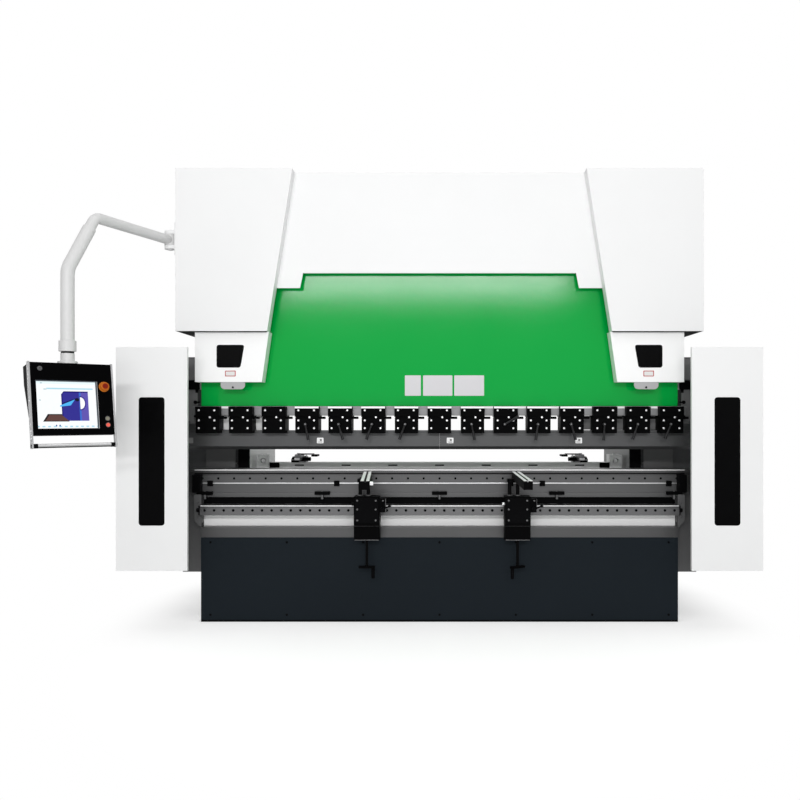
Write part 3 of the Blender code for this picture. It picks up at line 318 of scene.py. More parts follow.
class Finish:
    def __init__(self, name, slotName, **sockets):
        self.slotName = slotName
        self.material = bpy.data.materials.new(name)
        self.material.use_nodes = True
        self.tree = self.material.node_tree
        self.shader = self.tree.nodes["Principled BSDF"]
        for socket, value in sockets.items():
            self.set(socket, value)

    def set(self, socket, value):
        # camelCase socket names: baseColor is Base Color
        spaced = "".join(" " + c if c.isupper() else c for c in socket).title()
        spaced = spaced.replace("Ior", "IOR")
        self.feed(self.shader.inputs[spaced], value)
        return self

    def feed(self, socket, value):
        if isinstance(value, Wire):
            self.tree.links.new(value.socket, socket)
        elif value is not None:
            if socket.type == "RGBA" and len(value) == 3:
                value = (*value, 1)
            socket.default_value = value

    def add(self, kind, settings, values, output=0):
        node = self.tree.nodes.new(kind)
        for key, value in settings.items():
            setattr(node, key, value)
        pairs = values.items() if isinstance(values, dict) else enumerate(values)
        for place, value in pairs:
            self.feed(node.inputs[place], value)
        return Wire(self, node.outputs[output])

    def math(self, operation, first, second=None):
        return self.add("ShaderNodeMath", {"operation": operation}, [first, second])

    def place(self, location=(0, 0, 0), rotation=(0, 0, 0), scale=(1, 1, 1)):
        where = self.add("ShaderNodeTexCoord", {}, [], "Object")
        return self.add("ShaderNodeMapping", {"vector_type": "TEXTURE"},
                        {"Vector": where, "Location": location, "Rotation": rotation,
                         "Scale": scale})

    def axes(self, vector):
        node = self.add("ShaderNodeSeparateXYZ", {}, [vector]).socket.node
        return [Wire(self, out) for out in node.outputs]

    def noise(self, scale, detail=2.0, stretch=(1, 1, 1), roughness=0.5):
        # cloudy values round 0.5; stretch lengthens them along an axis
        return self.add("ShaderNodeTexNoise", {},
                        {"Vector": self.place(scale=stretch), "Scale": scale,
                         "Detail": detail, "Roughness": roughness})

    def mix(self, factor, first, second):
        node = self.tree.nodes.new("ShaderNodeMix")
        node.data_type = "RGBA"
        self.feed(node.inputs[0], factor)
        self.feed(node.inputs[6], first)
        self.feed(node.inputs[7], second)
        return Wire(self, node.outputs[2])

    def bump(self, height, distance, strength=1.0):
        self.set("normal", self.add("ShaderNodeBump", {}, {
            "Strength": strength, "Distance": distance, "Height": height}))
        return self


def tint(colour, share):
    return tuple(min(1, c * share) for c in colour)


def paint(name, slotName, colour, roughness, peel=(420, 0.00025), patch=0.03, **sockets):
    # sprayed or powder-coated sheet: faint orange peel and slow changes of tone
    finish = Finish(name, slotName, metallic=0.0, **sockets)
    cloud = finish.noise(2.3, 4)
    fine = finish.noise(peel[0], 3)
    finish.set("baseColor", finish.mix(cloud, tint(colour, 1 - patch), tint(colour, 1 + patch)))
    finish.set("roughness", fine * 0.1 + (cloud * 0.06 + (roughness - 0.08)))
    return finish.bump(fine, peel[1], 0.35)


def metal(name, slotName, colour, roughness, brush=(60, 1, 1), grain=300, wear=0.18,
          metallic=0.9, **sockets):
    # machined or brushed metal: fine lines along one axis over slow stains
    finish = Finish(name, slotName, metallic=metallic, **sockets)
    lines = finish.noise(grain, 3, brush, 0.6)
    cloud = finish.noise(5.0, 5, (2.5, 1, 1))
    toned = finish.mix(cloud, tint(colour, 1 - wear), tint(colour, 1 + wear))
    finish.set("baseColor", finish.mix(lines * 0.5, toned, tint(colour, 1 + wear * 1.5)))
    finish.set("roughness", lines * 0.16 + (cloud * 0.1 + (roughness - 0.13)))
    return finish.bump(lines, 0.00012, 0.4)


def moulded(name, slotName, colour, roughness, pebble=900, **sockets):
    # moulded plastic or rubber: a fine pebble skin with finger marks
    finish = Finish(name, slotName, metallic=0.0, **sockets)
    fine = finish.noise(pebble, 2)
    marks = finish.noise(14, 4)
    finish.set("baseColor", finish.mix(marks, tint(colour, 0.85), tint(colour, 1.2)))
    finish.set("roughness", marks * 0.14 + (fine * 0.08 + (roughness - 0.11)))
    return finish.bump(fine, 0.0002, 0.3)


whitePaint = paint("whitePaint", "white_paint", (0.865, 0.868, 0.87), 0.42, specularIorLevel=0.35)
greenPaint = paint("greenPaint", "green_paint", (0.0, 0.372, 0.052), 0.1, patch=0.02,
                   specularIorLevel=0.17)
anthracitePaint = paint("anthracitePaint", "anthracite_paint", (0.0108, 0.015, 0.0193), 0.55,
                        peel=(700, 0.0004), patch=0.1, specularIorLevel=0.06)
framePaint = paint("framePaint", "frame_paint", (0.075, 0.077, 0.08), 0.5, patch=0.08,
                   specularIorLevel=0.3)
motorBlue = paint("motorBlue", "motor_blue", (0.05, 0.095, 0.16), 0.45, patch=0.08)
plateGrey = paint("plateGrey", "frame_paint", (0.1, 0.1, 0.102), 0.5, patch=0.06,
                  specularIorLevel=0.3)
greySteel = metal("greySteel", "grey_steel", (0.096, 0.096, 0.098), 0.42)
punchSteel = metal("punchSteel", "grey_steel", (0.073, 0.074, 0.076), 0.45, brush=(1, 1, 24),
                   grain=160, metallic=0.6)
brightSteel = metal("brightSteel", "bright_steel", (0.55, 0.55, 0.56), 0.3, metallic=1.0)
turnedSteel = metal("turnedSteel", "bright_steel", (0.62, 0.62, 0.63), 0.24, brush=(1, 1, 1),
                    grain=500, wear=0.08, metallic=1.0)
aluminium = metal("aluminium", "silver_aluminium", (0.66, 0.66, 0.67), 0.34, wear=0.07,
                  metallic=1.0)
blackOxide = metal("blackOxide", "black_oxide", (0.0016, 0.0016, 0.0018), 0.5, wear=0.35,
                   metallic=0.0, specularIorLevel=0.02)
blackPlastic = moulded("blackPlastic", "black_plastic", (0.0022, 0.0022, 0.0026), 0.5,
                       specularIorLevel=0.03)
windowPlastic = moulded("windowPlastic", "window_plastic", (0.0012, 0.0012, 0.0014), 0.3,
                        pebble=300, specularIorLevel=0.04)
silverPaint = paint("silverPaint", "silver_aluminium", (0.42, 0.42, 0.425), 0.4, patch=0.04)
labelWhite = paint("labelWhite", "white_paint", (0.78, 0.78, 0.77), 0.5, patch=0.03)
# a brighter copy of the white paint: on the bed, the shrouds, the left backing and the left throat sheet it
# paints light over their shade, on the clamps it paints highlights, on the punch tags it is their own white
whiteAndPaintedLight = paint("whiteAndPaintedLight", "white_paint", (0.968, 0.97, 0.97), 0.42, patch=0.02)
print("finishes mixed")


# CAD shapes that only need softer edges: finish and edge width

plainParts = {
    # the bed beam and the shrouds take the brighter white, which paints light over their shade
    "bed_beam": (whiteAndPaintedLight, 0.0015),
    "bed_ledge": (greySteel, 0.0012),
    "apron_panel": (anthracitePaint, 0.002),
    "left_side_frame": (framePaint, 0.003),
    "right_side_frame": (framePaint, 0.003),
    "upper_cross_beam": (framePaint, 0.003),
    "rear_tie_beam": (framePaint, 0.003),
    "left_ram_guide": (brightSteel, 0.001),
    "right_ram_guide": (brightSteel, 0.001),
    "ram": (greenPaint, 0.0025),
    "punch_1": (punchSteel, 0.0008),
    "punch_2": (punchSteel, 0.0008),
    "punch_3": (punchSteel, 0.0008),
    "punch_4": (punchSteel, 0.0008),
    "top_panel": (whitePaint, 0.0012),
    "left_head_cover": (whitePaint, 0.0013),
    "right_head_cover": (whitePaint, 0.0013),
    "left_cylinder_shroud": (whiteAndPaintedLight, 0.0013),
    "right_cylinder_shroud": (whiteAndPaintedLight, 0.0013),
    "left_guard_bracket": (framePaint, 0.0008),
    "right_guard_bracket": (framePaint, 0.0008),
    "left_gauge_rail": (brightSteel, 0.001),
    "right_gauge_rail": (brightSteel, 0.001),
    "arm_bracket": (whitePaint, 0.001),
}
for node, (finish, width) in plainParts.items():
    dressNode(node, node + "_shape", finish, width)
print("plain parts softened")


# Bed, table and front rail

tableSizes = {"holePitch": 0.1, "holeRadius": 0.0074, "holeDrop": 0.056, "holeDepth": 0.012,
              "stripZ": (0.8655, 0.872), "stripProud": 0.0022, "stepDepth": 0.003,
              "blockXs": (0.45, 0.65, 1.45), "blockSide": 0.034, "blockZ": 0.868}


def makeTable():
    low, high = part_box("table")
    holeZ = high.z - tableSizes["holeDrop"]
    pitch = tableSizes["holePitch"]
    hole = startRod((-1.5, (low.y - 0.01, low.y + tableSizes["holeDepth"]), holeZ),
                    tableSizes["holeRadius"], 12)
    repeat(hole, 31, (pitch, 0, 0))
    step = startCube((low.x - 0.02, low.y - 0.02, low.z - 0.01),
                     (high.x + 0.02, low.y + tableSizes["stepDepth"], tableSizes["stripZ"][0]))
    dressNode("table", "table_block", greySteel, 0.0016, (step, hole))
    z = tableSizes["stripZ"]
    strip = softCube((low.x + 0.1, low.y - tableSizes["stripProud"], z[0]),
                     (high.x - 0.1, low.y + 0.001, z[1]), 0.0012)
    dress("table_strip", [strip], aluminium)
    # a near-white strip along the upper edge paints its highlight, a black strip below it paints the shade of
    # a groove, and black plugs fill the holes, painting their shade
    land = softCube((low.x + 0.05, low.y - 0.001, high.z - 0.0058),
                    (high.x - 0.05, low.y + 0.004, high.z - 0.0001), 0.0008)
    dress("table_painted_highlight", [land], paintedHighlightSteel)
    groove = softCube((low.x + 0.05, low.y - 0.0006, high.z - 0.0285),
                      (high.x - 0.05, low.y + 0.001, high.z - 0.0225), 0.0003)
    plug = startRod((-1.5, (low.y - 0.0004, low.y + 0.004), holeZ), 0.0072, 16)
    holeShades = repeat(plug, 31, (pitch, 0, 0))
    dress("table_painted_shade", [groove, smooth(holeShades)], blackPlastic)
    half = tableSizes["blockSide"] / 2
    blocks = []
    for x in tableSizes["blockXs"]:
        z = tableSizes["blockZ"]
        block = softCube((x - half, low.y - 0.014, z - half), (x + half, low.y + 0.004, z + half), 0.002)
        screw = capScrew((x, (low.y - 0.013, low.y - 0.019), z), 0.0055)
        blocks += [block, screw]
    stops = bothSides(joinUp("table_stops", *blocks))
    finishPiece(stops, blackOxide)
    # the rear edge carries a scraped bearing strip
    rear = softCube((low.x + 0.12, high.y - 0.004, high.z - 0.055),
                    (high.x - 0.12, high.y + 0.003, high.z - 0.03), 0.001)
    dress("table_rear_strip", [rear], brightSteel)


hookSizes = {"pitch": 0.74, "width": 0.095, "front": -0.1235, "topDrop": -0.008, "height": 0.021,
             "pinRadius": 0.0085}


def makeWedgeBar():
    low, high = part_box("wedge_bar")
    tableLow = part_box("table")[0]
    top = tableLow.z - 0.0003
    bar = softCube((-1.5, tableLow.y, top - 0.0295), (1.5, high.y, top), 0.0014)
    dress("wedge_bar_body", [bar], greySteel, "press_frame", "wedge_bar")
    hookTop = top - hookSizes["topDrop"]
    half = hookSizes["width"] / 2
    start = -2 * hookSizes["pitch"]
    head = softCube((start - half, hookSizes["front"], hookTop - hookSizes["height"]),
                    (start + half, tableLow.y + 0.002, hookTop), 0.003, 3)
    heads = repeat(head, 5, (hookSizes["pitch"], 0, 0))
    dress("hook_plates", [heads], blackOxide)
    y = hookSizes["front"] + 0.012
    pin = startRod((start, y, (hookTop - hookSizes["height"] + 0.002, low.z + 0.001)),
                   hookSizes["pinRadius"], 16)
    collar = startRod((start, y, (hookTop - 0.002, hookTop + 0.0025)), 0.007, 6)
    pins = repeat(joinUp("hook_pins", softEdges(pin, 0.001), softEdges(collar, 0.0006)), 5,
                  (hookSizes["pitch"], 0, 0))
    finishPiece(pins, railSteel)


railSizes = {"holePitch": 0.06, "holeRadius": 0.0052, "sinkRadius": 0.0085, "count": 50}


def makeRail():
    low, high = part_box("support_rail")
    z = (low.z + high.z) / 2
    x = -(railSizes["count"] - 1) / 2 * railSizes["holePitch"]
    hole = startRod((x, (low.y - 0.01, low.y + 0.014), z), railSizes["holeRadius"], 12)
    sink = startRod((x, (low.y - 0.01, low.y + 0.004), z), railSizes["sinkRadius"], 14)
    step = (railSizes["holePitch"], 0, 0)
    cutters = (repeat(sink, railSizes["count"], step), repeat(hole, railSizes["count"], step))
    dressNode("support_rail", "rail_bar", railSteel, 0.0012, cutters)
    # black socket screws in the counterbores, and a near-white strip along the upper edge that paints its
    # highlight
    head = capScrew((x, (low.y + 0.004, low.y + 0.0006), z), railSizes["sinkRadius"] - 0.0004, 14)
    dress("rail_screws", [repeat(head, railSizes["count"], step)], blackPlastic)
    edge = softCube((low.x + 0.004, low.y - 0.0008, high.z - 0.006),
                    (high.x - 0.004, low.y + 0.002, high.z - 0.0004), 0.0006)
    dress("rail_painted_highlight", [edge], paintedHighlightSteel)
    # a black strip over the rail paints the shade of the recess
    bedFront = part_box("bed_beam")[0].y
    recessShade = softCube((-1.499, bedFront - 0.0022, high.z + 0.0004), (1.499, bedFront + 0.001, 0.7818),
                      0.0005)
    dress("recess_painted_shade", [recessShade], blackPlastic)
    ends = []
    for side in (-1, 1):
        cap = softCube((side * 1.5003, low.y + 0.001, low.z + 0.001),
                       (side * 1.508, high.y - 0.02, high.z - 0.001), 0.002)
        knob = startRod(((side * 1.507, side * 1.524), low.y + 0.018, z), 0.012, 20)
        ends += [cap, softEdges(knob, 0.003, 3)]
    dress("rail_end_stops", ends, blackPlastic)


bedSizes = {"toe": 0.012, "screwX": -1.44, "screwPitch": 0.48, "screwLow": 0.045, "plateX": 1.5,
            "plateOut": 1.545, "plateY": (-0.125, -0.115), "plateZ": (0.6, 0.8), "plateScrews": (0.66, 0.75),
            "skirtOut": 1.655, "skirtLow": 0.29, "boxX": 1.5003, "boxWide": 0.055, "boxY": (-0.135, -0.05),
            "boxZ": (0.812, 0.925)}


def makeBedDetails():
    low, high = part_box("apron_panel")
    toe = softCube((low.x + 0.002, low.y - 0.0025, 0.0008),
                   (high.x - 0.002, low.y + 0.001, bedSizes["toe"]), 0.001)
    dress("toe_strip", [toe], blackPlastic)
    # screws hold the apron along its upper and lower edges
    x, pitch = bedSizes["screwX"], (bedSizes["screwPitch"], 0, 0)
    screws = [repeat(capScrew((x, (low.y + 0.001, low.y - 0.0022), z), 0.007), 7, pitch)
              for z in (high.z - 0.03, bedSizes["screwLow"])]
    dress("apron_screws", screws, blackOxide)
    # end plates close the bed under the table, their lower corners cut off, with skirts behind them
    plates = []
    (y0, y1), (z0, z1) = bedSizes["plateY"], bedSizes["plateZ"]
    for side in (-1, 1):
        x = side * bedSizes["plateX"]
        outer = side * bedSizes["plateOut"]
        slab = startCube((x, y0, z0), (outer, y1, z1))
        shape(slab, "edges",
              lambda m, d, outer=outer: abs(m.x - outer) < 0.001 and m.z < z0 + 0.001 and abs(d.y) > 0.005,
              bevelled(0.035))
        web = startCube((x, y1 - 0.001, z0 + 0.02), (x + side * 0.006, 0.03, z1 - 0.01))
        plates += [softEdges(slab, 0.0012), softEdges(web, 0.0012)]
        plates.append(softCube((x, 0.004, bedSizes["skirtLow"]),
                               (side * bedSizes["skirtOut"], 0.008, z1), 0.001))
        plates += [capScrew((x + side * 0.02, (y0 + 0.0005, y0 - 0.005), z), 0.006)
                   for z in bedSizes["plateScrews"]]
    dress("bed_end_plates", plates, plateGrey)
    boxes = []
    (y0, y1), (z0, z1) = bedSizes["boxY"], bedSizes["boxZ"]
    for side in (-1, 1):
        x = side * bedSizes["boxX"]
        housing = softCube((x, y0, z0), (x + side * bedSizes["boxWide"], y1, z1), 0.004, 3)
        gland = startRod((x + side * 0.028, -0.09, (z0 + 0.001, z0 - 0.017)), 0.011, 16)
        boxes += [housing, softEdges(gland, 0.002)]
    dress("bed_end_boxes", boxes, blackPlastic)


railSteel = metal("railSteel", "bright_steel", (0.135, 0.135, 0.138), 0.4, wear=0.25, metallic=0.85)
# a near-white steel that paints the highlights along the table's and the rail's upper edges
paintedHighlightSteel = metal("paintedHighlightSteel", "bright_steel", (0.93, 0.93, 0.935), 0.3, wear=0.05, metallic=0.3)
makeTable()
makeWedgeBar()
makeRail()
makeBedDetails()
print("bed and table dressed")


# Ram and upper tools

ramSizes = {"plates": ((-0.221, -0.119), (-0.105, 0.082), (0.094, 0.284)), "plateZ": (1.423, 1.553)}


def makeRamDetails():
    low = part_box("ram")[0]
    plates = [facePlate(left, right, *ramSizes["plateZ"], low.y - 0.0016, 0.0018, 0.004, 3)
              for left, right in ramSizes["plates"]]
    finishPiece(smooth(joinUp("ram_plates", *plates)), plateSilver, "ram_group")
    z0, z1 = ramSizes["plateZ"]
    rivets = [startBall((x, low.y - 0.0012, z), 0.0024, 10, 6) for left, right in ramSizes["plates"]
              for x in (left + 0.008, right - 0.008) for z in (z0 + 0.008, z1 - 0.008)]
    finishPiece(smooth(joinUp("ram_plate_rivets", *rivets)), aluminium, "ram_group")
    # bolts hold the piston rods' feet on the shoulders
    bolts = []
    for side in (-1, 1):
        rodLow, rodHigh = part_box("left_piston_rod" if side < 0 else "right_piston_rod")
        x, y = (rodLow.x + rodHigh.x) / 2, (rodLow.y + rodHigh.y) / 2
        foot = startRod((x, y, (rodLow.z, rodLow.z + 0.022)), 0.0395, 6)
        collar = startRod((x, y, (rodLow.z, rodLow.z + 0.014)), 0.036, 32)
        bolts += [softEdges(foot, 0.002), collar]
    dress("rod_feet", bolts, turnedSteel, "ram_group")


clampSizes = {
    "screwAcross": (-0.0525, 0.0465), "screwDown": (0.024, 0.088, 0.137), "screwRadius": 0.0062,
    "extra": (0.0175, 0.068), "split": 0.0665, "lever": 0.102, "leverPivot": (-0.008, 0.112),
    "leverAngles": (None, None, None, 12, 17, -19, -20, None, 11, 120, -9, 15, -4, -20, -24),
    "litGaps": (0, 8, 9, 10, 11, 12, 13), "litClamps": (3, 4, 5, 6, 7, 8, 9, 10, 11), "lineDrop": 0.0115,
    "leftPaintedLightSheet": (-1.4, -1.11), "rightPaintedShadeSheet": (0.925, 1.43),
}


def makeClamp(x, low, high, width):
    # the body in two blocks with a joint line between them, and the wedge's end at one side
    left, right = x - width / 2, x + width / 2
    split = high.z - 0.003 - clampSizes["split"]
    top = high.z - 0.003
    upper = softCube((left, low.y, split + 0.0012), (right, high.y, top), 0.0022, 2)
    lower = softCube((left + 0.003, low.y + 0.0022, low.z), (right - 0.003, high.y, split - 0.0012),
                     0.0022, 2)
    core = startCube((left + 0.006, low.y + 0.008, low.z + 0.004),
                     (right - 0.006, high.y - 0.004, top - 0.004))
    stub = softCube((right - 0.012, low.y + 0.021, top - 0.079), (right + 0.037, -0.041, top - 0.0635),
                    0.003, 3)
    return joinUp("clamp", upper, lower, core, stub)


def makeClamps():
    low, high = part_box("clamp_row")
    count, pitch, width = 15, 0.21, 0.152
    first = -(count - 1) / 2 * pitch
    top = high.z
    clamp = makeClamp(first, low, high, width)
    slot = startCube((first - 0.1, -0.0105, low.z - 0.01), (first + 0.1, 0.0105, low.z + 0.0185))
    cutWith(clamp, slot)
    clamps = repeat(smooth(clamp), count, (pitch, 0, 0))
    dress("clamp_bodies", [clamps], blackOxide, "ram_group", "clamp_row")

    reach = (count - 1) / 2 * pitch + width / 2 + 0.03
    barLow = top - 0.0607
    bar = softCube((-reach, -0.044, barLow), (reach, 0.025, top - 0.0002), 0.002)
    groove = softCube((-reach, -0.0462, top - 0.0145), (reach, -0.043, top - 0.0005), 0.0012)
    dress("tool_bar", [bar], barSteel, "ram_group")
    dress("bar_line", [groove], barSteel, "ram_group")
    # white strips paint highlights on lengths of the bar's edge and along the tops of the middle clamps
    lit = []
    drop = clampSizes["lineDrop"]
    for number in clampSizes["litGaps"]:
        x = first + number * pitch + width / 2
        lit.append(softCube((x + 0.002, -0.047, top - 0.0145),
                            (x + pitch - width - 0.002, -0.0455, top - 0.001), 0.0005))
    for number in clampSizes["litClamps"]:
        x = first + number * pitch - width / 2
        lit.append(softCube((x + 0.0005, low.y - 0.001, top - 0.003 - drop),
                            (x + width - 0.0005, low.y + 0.002, top - 0.0024), 0.0006))
    dress("clamp_painted_highlights", lit, whiteAndPaintedLight, "ram_group")
    # sheets close the row from behind at both ends; seen through the gaps between the clamps, the white one
    # on the left paints light and the grey one on the right paints shade
    for name, finish in (("leftPaintedLightSheet", whiteAndPaintedLight), ("rightPaintedShadeSheet", backingShadeGrey)):
        x0, x1 = clampSizes[name]
        dress(name, [softCube((x0, 0.0265, 1.2055), (x1, 0.0295, 1.2945), 0.0006)], finish, "ram_group")
    # the lower edge of the holder shows as a thin line between the clamps
    holder = softCube((-reach, 0.03, low.z + 0.0005), (reach, 0.04, low.z + 0.0155), 0.001)
    dress("holder_line", [holder], barSteel, "ram_group")

    screws = []
    face = low.y
    for across in clampSizes["screwAcross"]:
        for row, down in enumerate(clampSizes["screwDown"]):
            z = top - 0.003 - down
            y = face if row == 0 else face + 0.0022
            screws.append(capScrew((first + across, (y + 0.001, y - 0.0048), z),
                                   clampSizes["screwRadius"]))
    across, down = clampSizes["extra"]
    z = top - 0.003 - down
    screws.append(capScrew((first + across, (face + 0.003, face - 0.003), z), 0.0062))
    screws = repeat(joinUp("clamp_screws", *screws), count, (pitch, 0, 0))
    finishPiece(screws, screwSteel, "ram_group")

    # a lever under each quick clamp hangs as it was left
    levers, pivots = [], []
    pivotAcross, pivotDown = clampSizes["leverPivot"]
    for number, angle in enumerate(clampSizes["leverAngles"]):
        if angle is None:
            continue
        x = first + number * pitch + pivotAcross
        z = top - 0.003 - pivotDown
        turn = math.radians(angle)
        tip = (x + math.sin(turn) * clampSizes["lever"], face - 0.016,
               z - math.cos(turn) * clampSizes["lever"])
        grip = startRod(zip((x + math.sin(turn) * 0.045, face - 0.014, z - math.cos(turn) * 0.045), tip),
                        0.0072, 14, 0.0096)
        neck = startRod(zip((x, face - 0.009, z), tip), 0.0056, 10)
        hub = startRod((x, (face + 0.004, face - 0.012), z), 0.0095, 18)
        levers += [softEdges(grip, 0.0018, 2), neck, softEdges(hub, 0.0014)]
        pivots.append(capScrew((x, (face - 0.0115, face - 0.0145), z), 0.005))
    dress("clamp_levers", levers, gripGrey, "ram_group")
    dress("clamp_lever_pins", pivots, barSteel, "ram_group")


punchSizes = {"tagXs": (-1.6, -0.7645, 0.068, 0.892), "tagSide": (0.043, 0.036), "tagZ": 1.137}


def makePunchDetails():
    face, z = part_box("punch_1")[0].y, punchSizes["tagZ"]
    wide, tall = punchSizes["tagSide"]

    def tag(x, z, wide, tall, y):
        return smooth(facePlate(x - wide / 2, x + wide / 2, z - tall / 2, z + tall / 2, y, 0.0011,
                                wide * 0.12, 3))

    worn, *fresh = punchSizes["tagXs"]
    dress("worn_tag", [tag(worn, z, wide, tall, face - 0.0008)], wornGrey, "ram_group")
    dress("punch_tags", [tag(x, z, wide, tall, face - 0.0008) for x in fresh], whiteAndPaintedLight, "ram_group")
    marks = []
    for x in fresh:
        marks += [tag(x + 0.004, z + 0.003, wide * 0.3, tall * 0.36, face - 0.0012),
                  tag(x, z - 0.01, wide * 0.62, tall * 0.09, face - 0.0012)]
    dress("punch_tag_marks", marks, wornGrey, "ram_group")


plateSilver = paint("plateSilver", "white_paint", (0.64, 0.635, 0.655), 0.45)
barSteel = metal("barSteel", "black_oxide", (0.2, 0.2, 0.205), 0.42, wear=0.2, metallic=0.8)
# a grey that paints shade behind the right-hand clamps
backingShadeGrey = paint("backingShadeGrey", "frame_paint", (0.135, 0.135, 0.137), 0.5)
gripGrey = moulded("gripGrey", "black_plastic", (0.014, 0.014, 0.015), 0.42, specularIorLevel=0.2)
wornGrey = paint("wornGrey", "frame_paint", (0.175, 0.175, 0.175), 0.5)
screwSteel = metal("screwSteel", "bright_steel", (0.8, 0.8, 0.81), 0.35, brush=(1, 1, 1), grain=700,
                   wear=0.06, metallic=0.55)
makeRamDetails()
makeClamps()
makePunchDetails()
print("ram and tools dressed")


# Covers, shrouds and guards

coverSizes = {"louvreZ": 2.05, "louvreStep": 0.045, "louvres": 9, "louvreY": (0.05, 0.36),
              "louvreHeight": 0.022, "louvreProud": 0.009, "screwZs": (1.86, 2.79),
              "screwYs": (-0.15, 0.45), "stripInner": 1.53, "sealInner": 1.078, "lipHalf": 0.857,
              "lipZ": (2.196, 2.199)}


def makeCoverDetails():
    low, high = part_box("right_head_cover")
    # pressed louvres and screws on the outer side of each cover
    x = high.x
    y0, y1 = coverSizes["louvreY"]
    z = coverSizes["louvreZ"]
    slat = startCube((x - 0.002, y0, z),
                     (x + coverSizes["louvreProud"], y1, z + coverSizes["louvreHeight"]))
    shape(slat, "edges", lambda m, d: m.x > x + 0.008 and m.z > z + 0.02,
          (bpy.ops.transform.translate, {"value": (-0.0085, 0, 0)}))
    softEdges(slat, 0.0015)
    count, step = coverSizes["louvres"], (0, 0, coverSizes["louvreStep"])
    slats = bothSides(repeat(slat, count, step))
    dress("cover_louvres", [slats], whitePaint)
    # black strips under the slats paint the shade in the louvres' openings
    gap = startCube((x - 0.001, y0 + 0.006, z - 0.004), (x + 0.0016, y1 - 0.006, z + 0.001))
    gaps = bothSides(repeat(softEdges(gap, 0.0006), count, step))
    dress("cover_louvre_shade", [gaps], blackPlastic)
    screws = [capScrew(((x - 0.001, x + 0.003), y, z), 0.0075)
              for y in coverSizes["screwYs"] for z in coverSizes["screwZs"]]
    finishPiece(bothSides(joinUp("cover_screws", *screws)), screwSteel)
    # black sheets under the covers' outer strips paint the shade in their open undersides, and black seals
    # lie over the shrouds
    shadeAndSeals = []
    for side in (-1, 1):
        edge = side * coverSizes["stripInner"]
        shadeAndSeals.append(softCube((side * (high.x - 0.003), low.y + 0.003, low.z + 0.0002),
                                (edge, high.y - 0.003, low.z + 0.0022), 0.0004))
        shadeAndSeals.append(softCube((side * coverSizes["sealInner"], low.y + 0.001, low.z - 0.0042),
                                (edge, low.y + 0.026, low.z - 0.0002), 0.0004))
    dress("cover_shade_and_seals", shadeAndSeals, blackPlastic)
    # the front panel's folded lower lip
    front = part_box("top_panel")[0].y
    half = coverSizes["lipHalf"]
    z0, z1 = coverSizes["lipZ"]
    lip = softCube((-half, front + 0.003, z0), (half, front + 0.022, z1), 0.0008)
    dress("panel_lip", [lip], whitePaint)


shroudSizes = {
    "window": ((1.246, 1.6), (1.387, 1.6), (1.387, 1.734), (1.222, 1.734)), "windowRadius": 0.012,
    "number": ((1.272, 1.541), (1.338, 1.541), (1.338, 1.577), (1.272, 1.577)),
    "tab": ((1.215, 1.461), (1.368, 1.461), (1.368, 1.52), (1.215, 1.52)), "tabScrew": (1.291, 1.473),
}


def standing(points, side, y):
    # four corners on a front face, kept in the same turning sense on both sides
    corners = [(x * side, y, z) for x, z in points]
    return corners if side > 0 else [corners[1], corners[0], corners[3], corners[2]]


def makeShroudDetails():
    windows, rims, fields, tabs, screws, seals = [], [], [], [], [], []
    for side in (-1, 1):
        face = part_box("right_cylinder_shroud")[0].y
        pane = plate(standing(shroudSizes["window"], side, face - 0.0022), 0.003,
                     shroudSizes["windowRadius"], 6)
        windows.append(smooth(softEdges(pane, 0.0006, 2)))
        grown = [(x + (0.004 if x > 1.3 else -0.004), z + (0.004 if z > 1.65 else -0.004))
                 for x, z in shroudSizes["window"]]
        seals.append(smooth(plate(standing(grown, side, face - 0.0012), 0.002,
                                  shroudSizes["windowRadius"] + 0.003, 6)))
        rims.append(smooth(plate(standing(shroudSizes["number"], side, face - 0.0008), 0.0012, 0.003, 3)))
        inner = [(x + (-0.005 if x > 1.3 else 0.005), z + (-0.005 if z > 1.56 else 0.005))
                 for x, z in shroudSizes["number"]]
        fields.append(smooth(plate(standing(inner, side, face - 0.0014), 0.001, 0.002, 3)))
        back = face + 0.006
        tab = plate(standing(shroudSizes["tab"], side, back), 0.003, 0.0)
        shape(tab, "edges", lambda m, d: m.z < 1.462 and abs(d.y) > 0.002,
              bevelled(0.027, 7))
        tabs.append(softEdges(tab, 0.0006))
        x, z = shroudSizes["tabScrew"]
        screws.append(capScrew((x * side, (back + 0.001, back - 0.003), z), 0.0065))
    dress("shroud_windows", windows, windowPlastic)
    dress("shroud_seals", seals, blackPlastic)
    dress("shroud_plate_rims", rims, signRed)
    dress("shroud_plate_fields", fields, labelWhite)
    dress("shroud_tabs", tabs, silverPaint)
    dress("shroud_tab_screws", screws, blackPlastic)


guardSizes = {"sheet": 0.003, "return": 0.025, "windowX": (1.6355, 1.7895), "windowZ": (0.642, 1.406),
              "radius": 0.018, "hinges": (0.7, 1.5), "handleZ": (0.95, 1.12)}


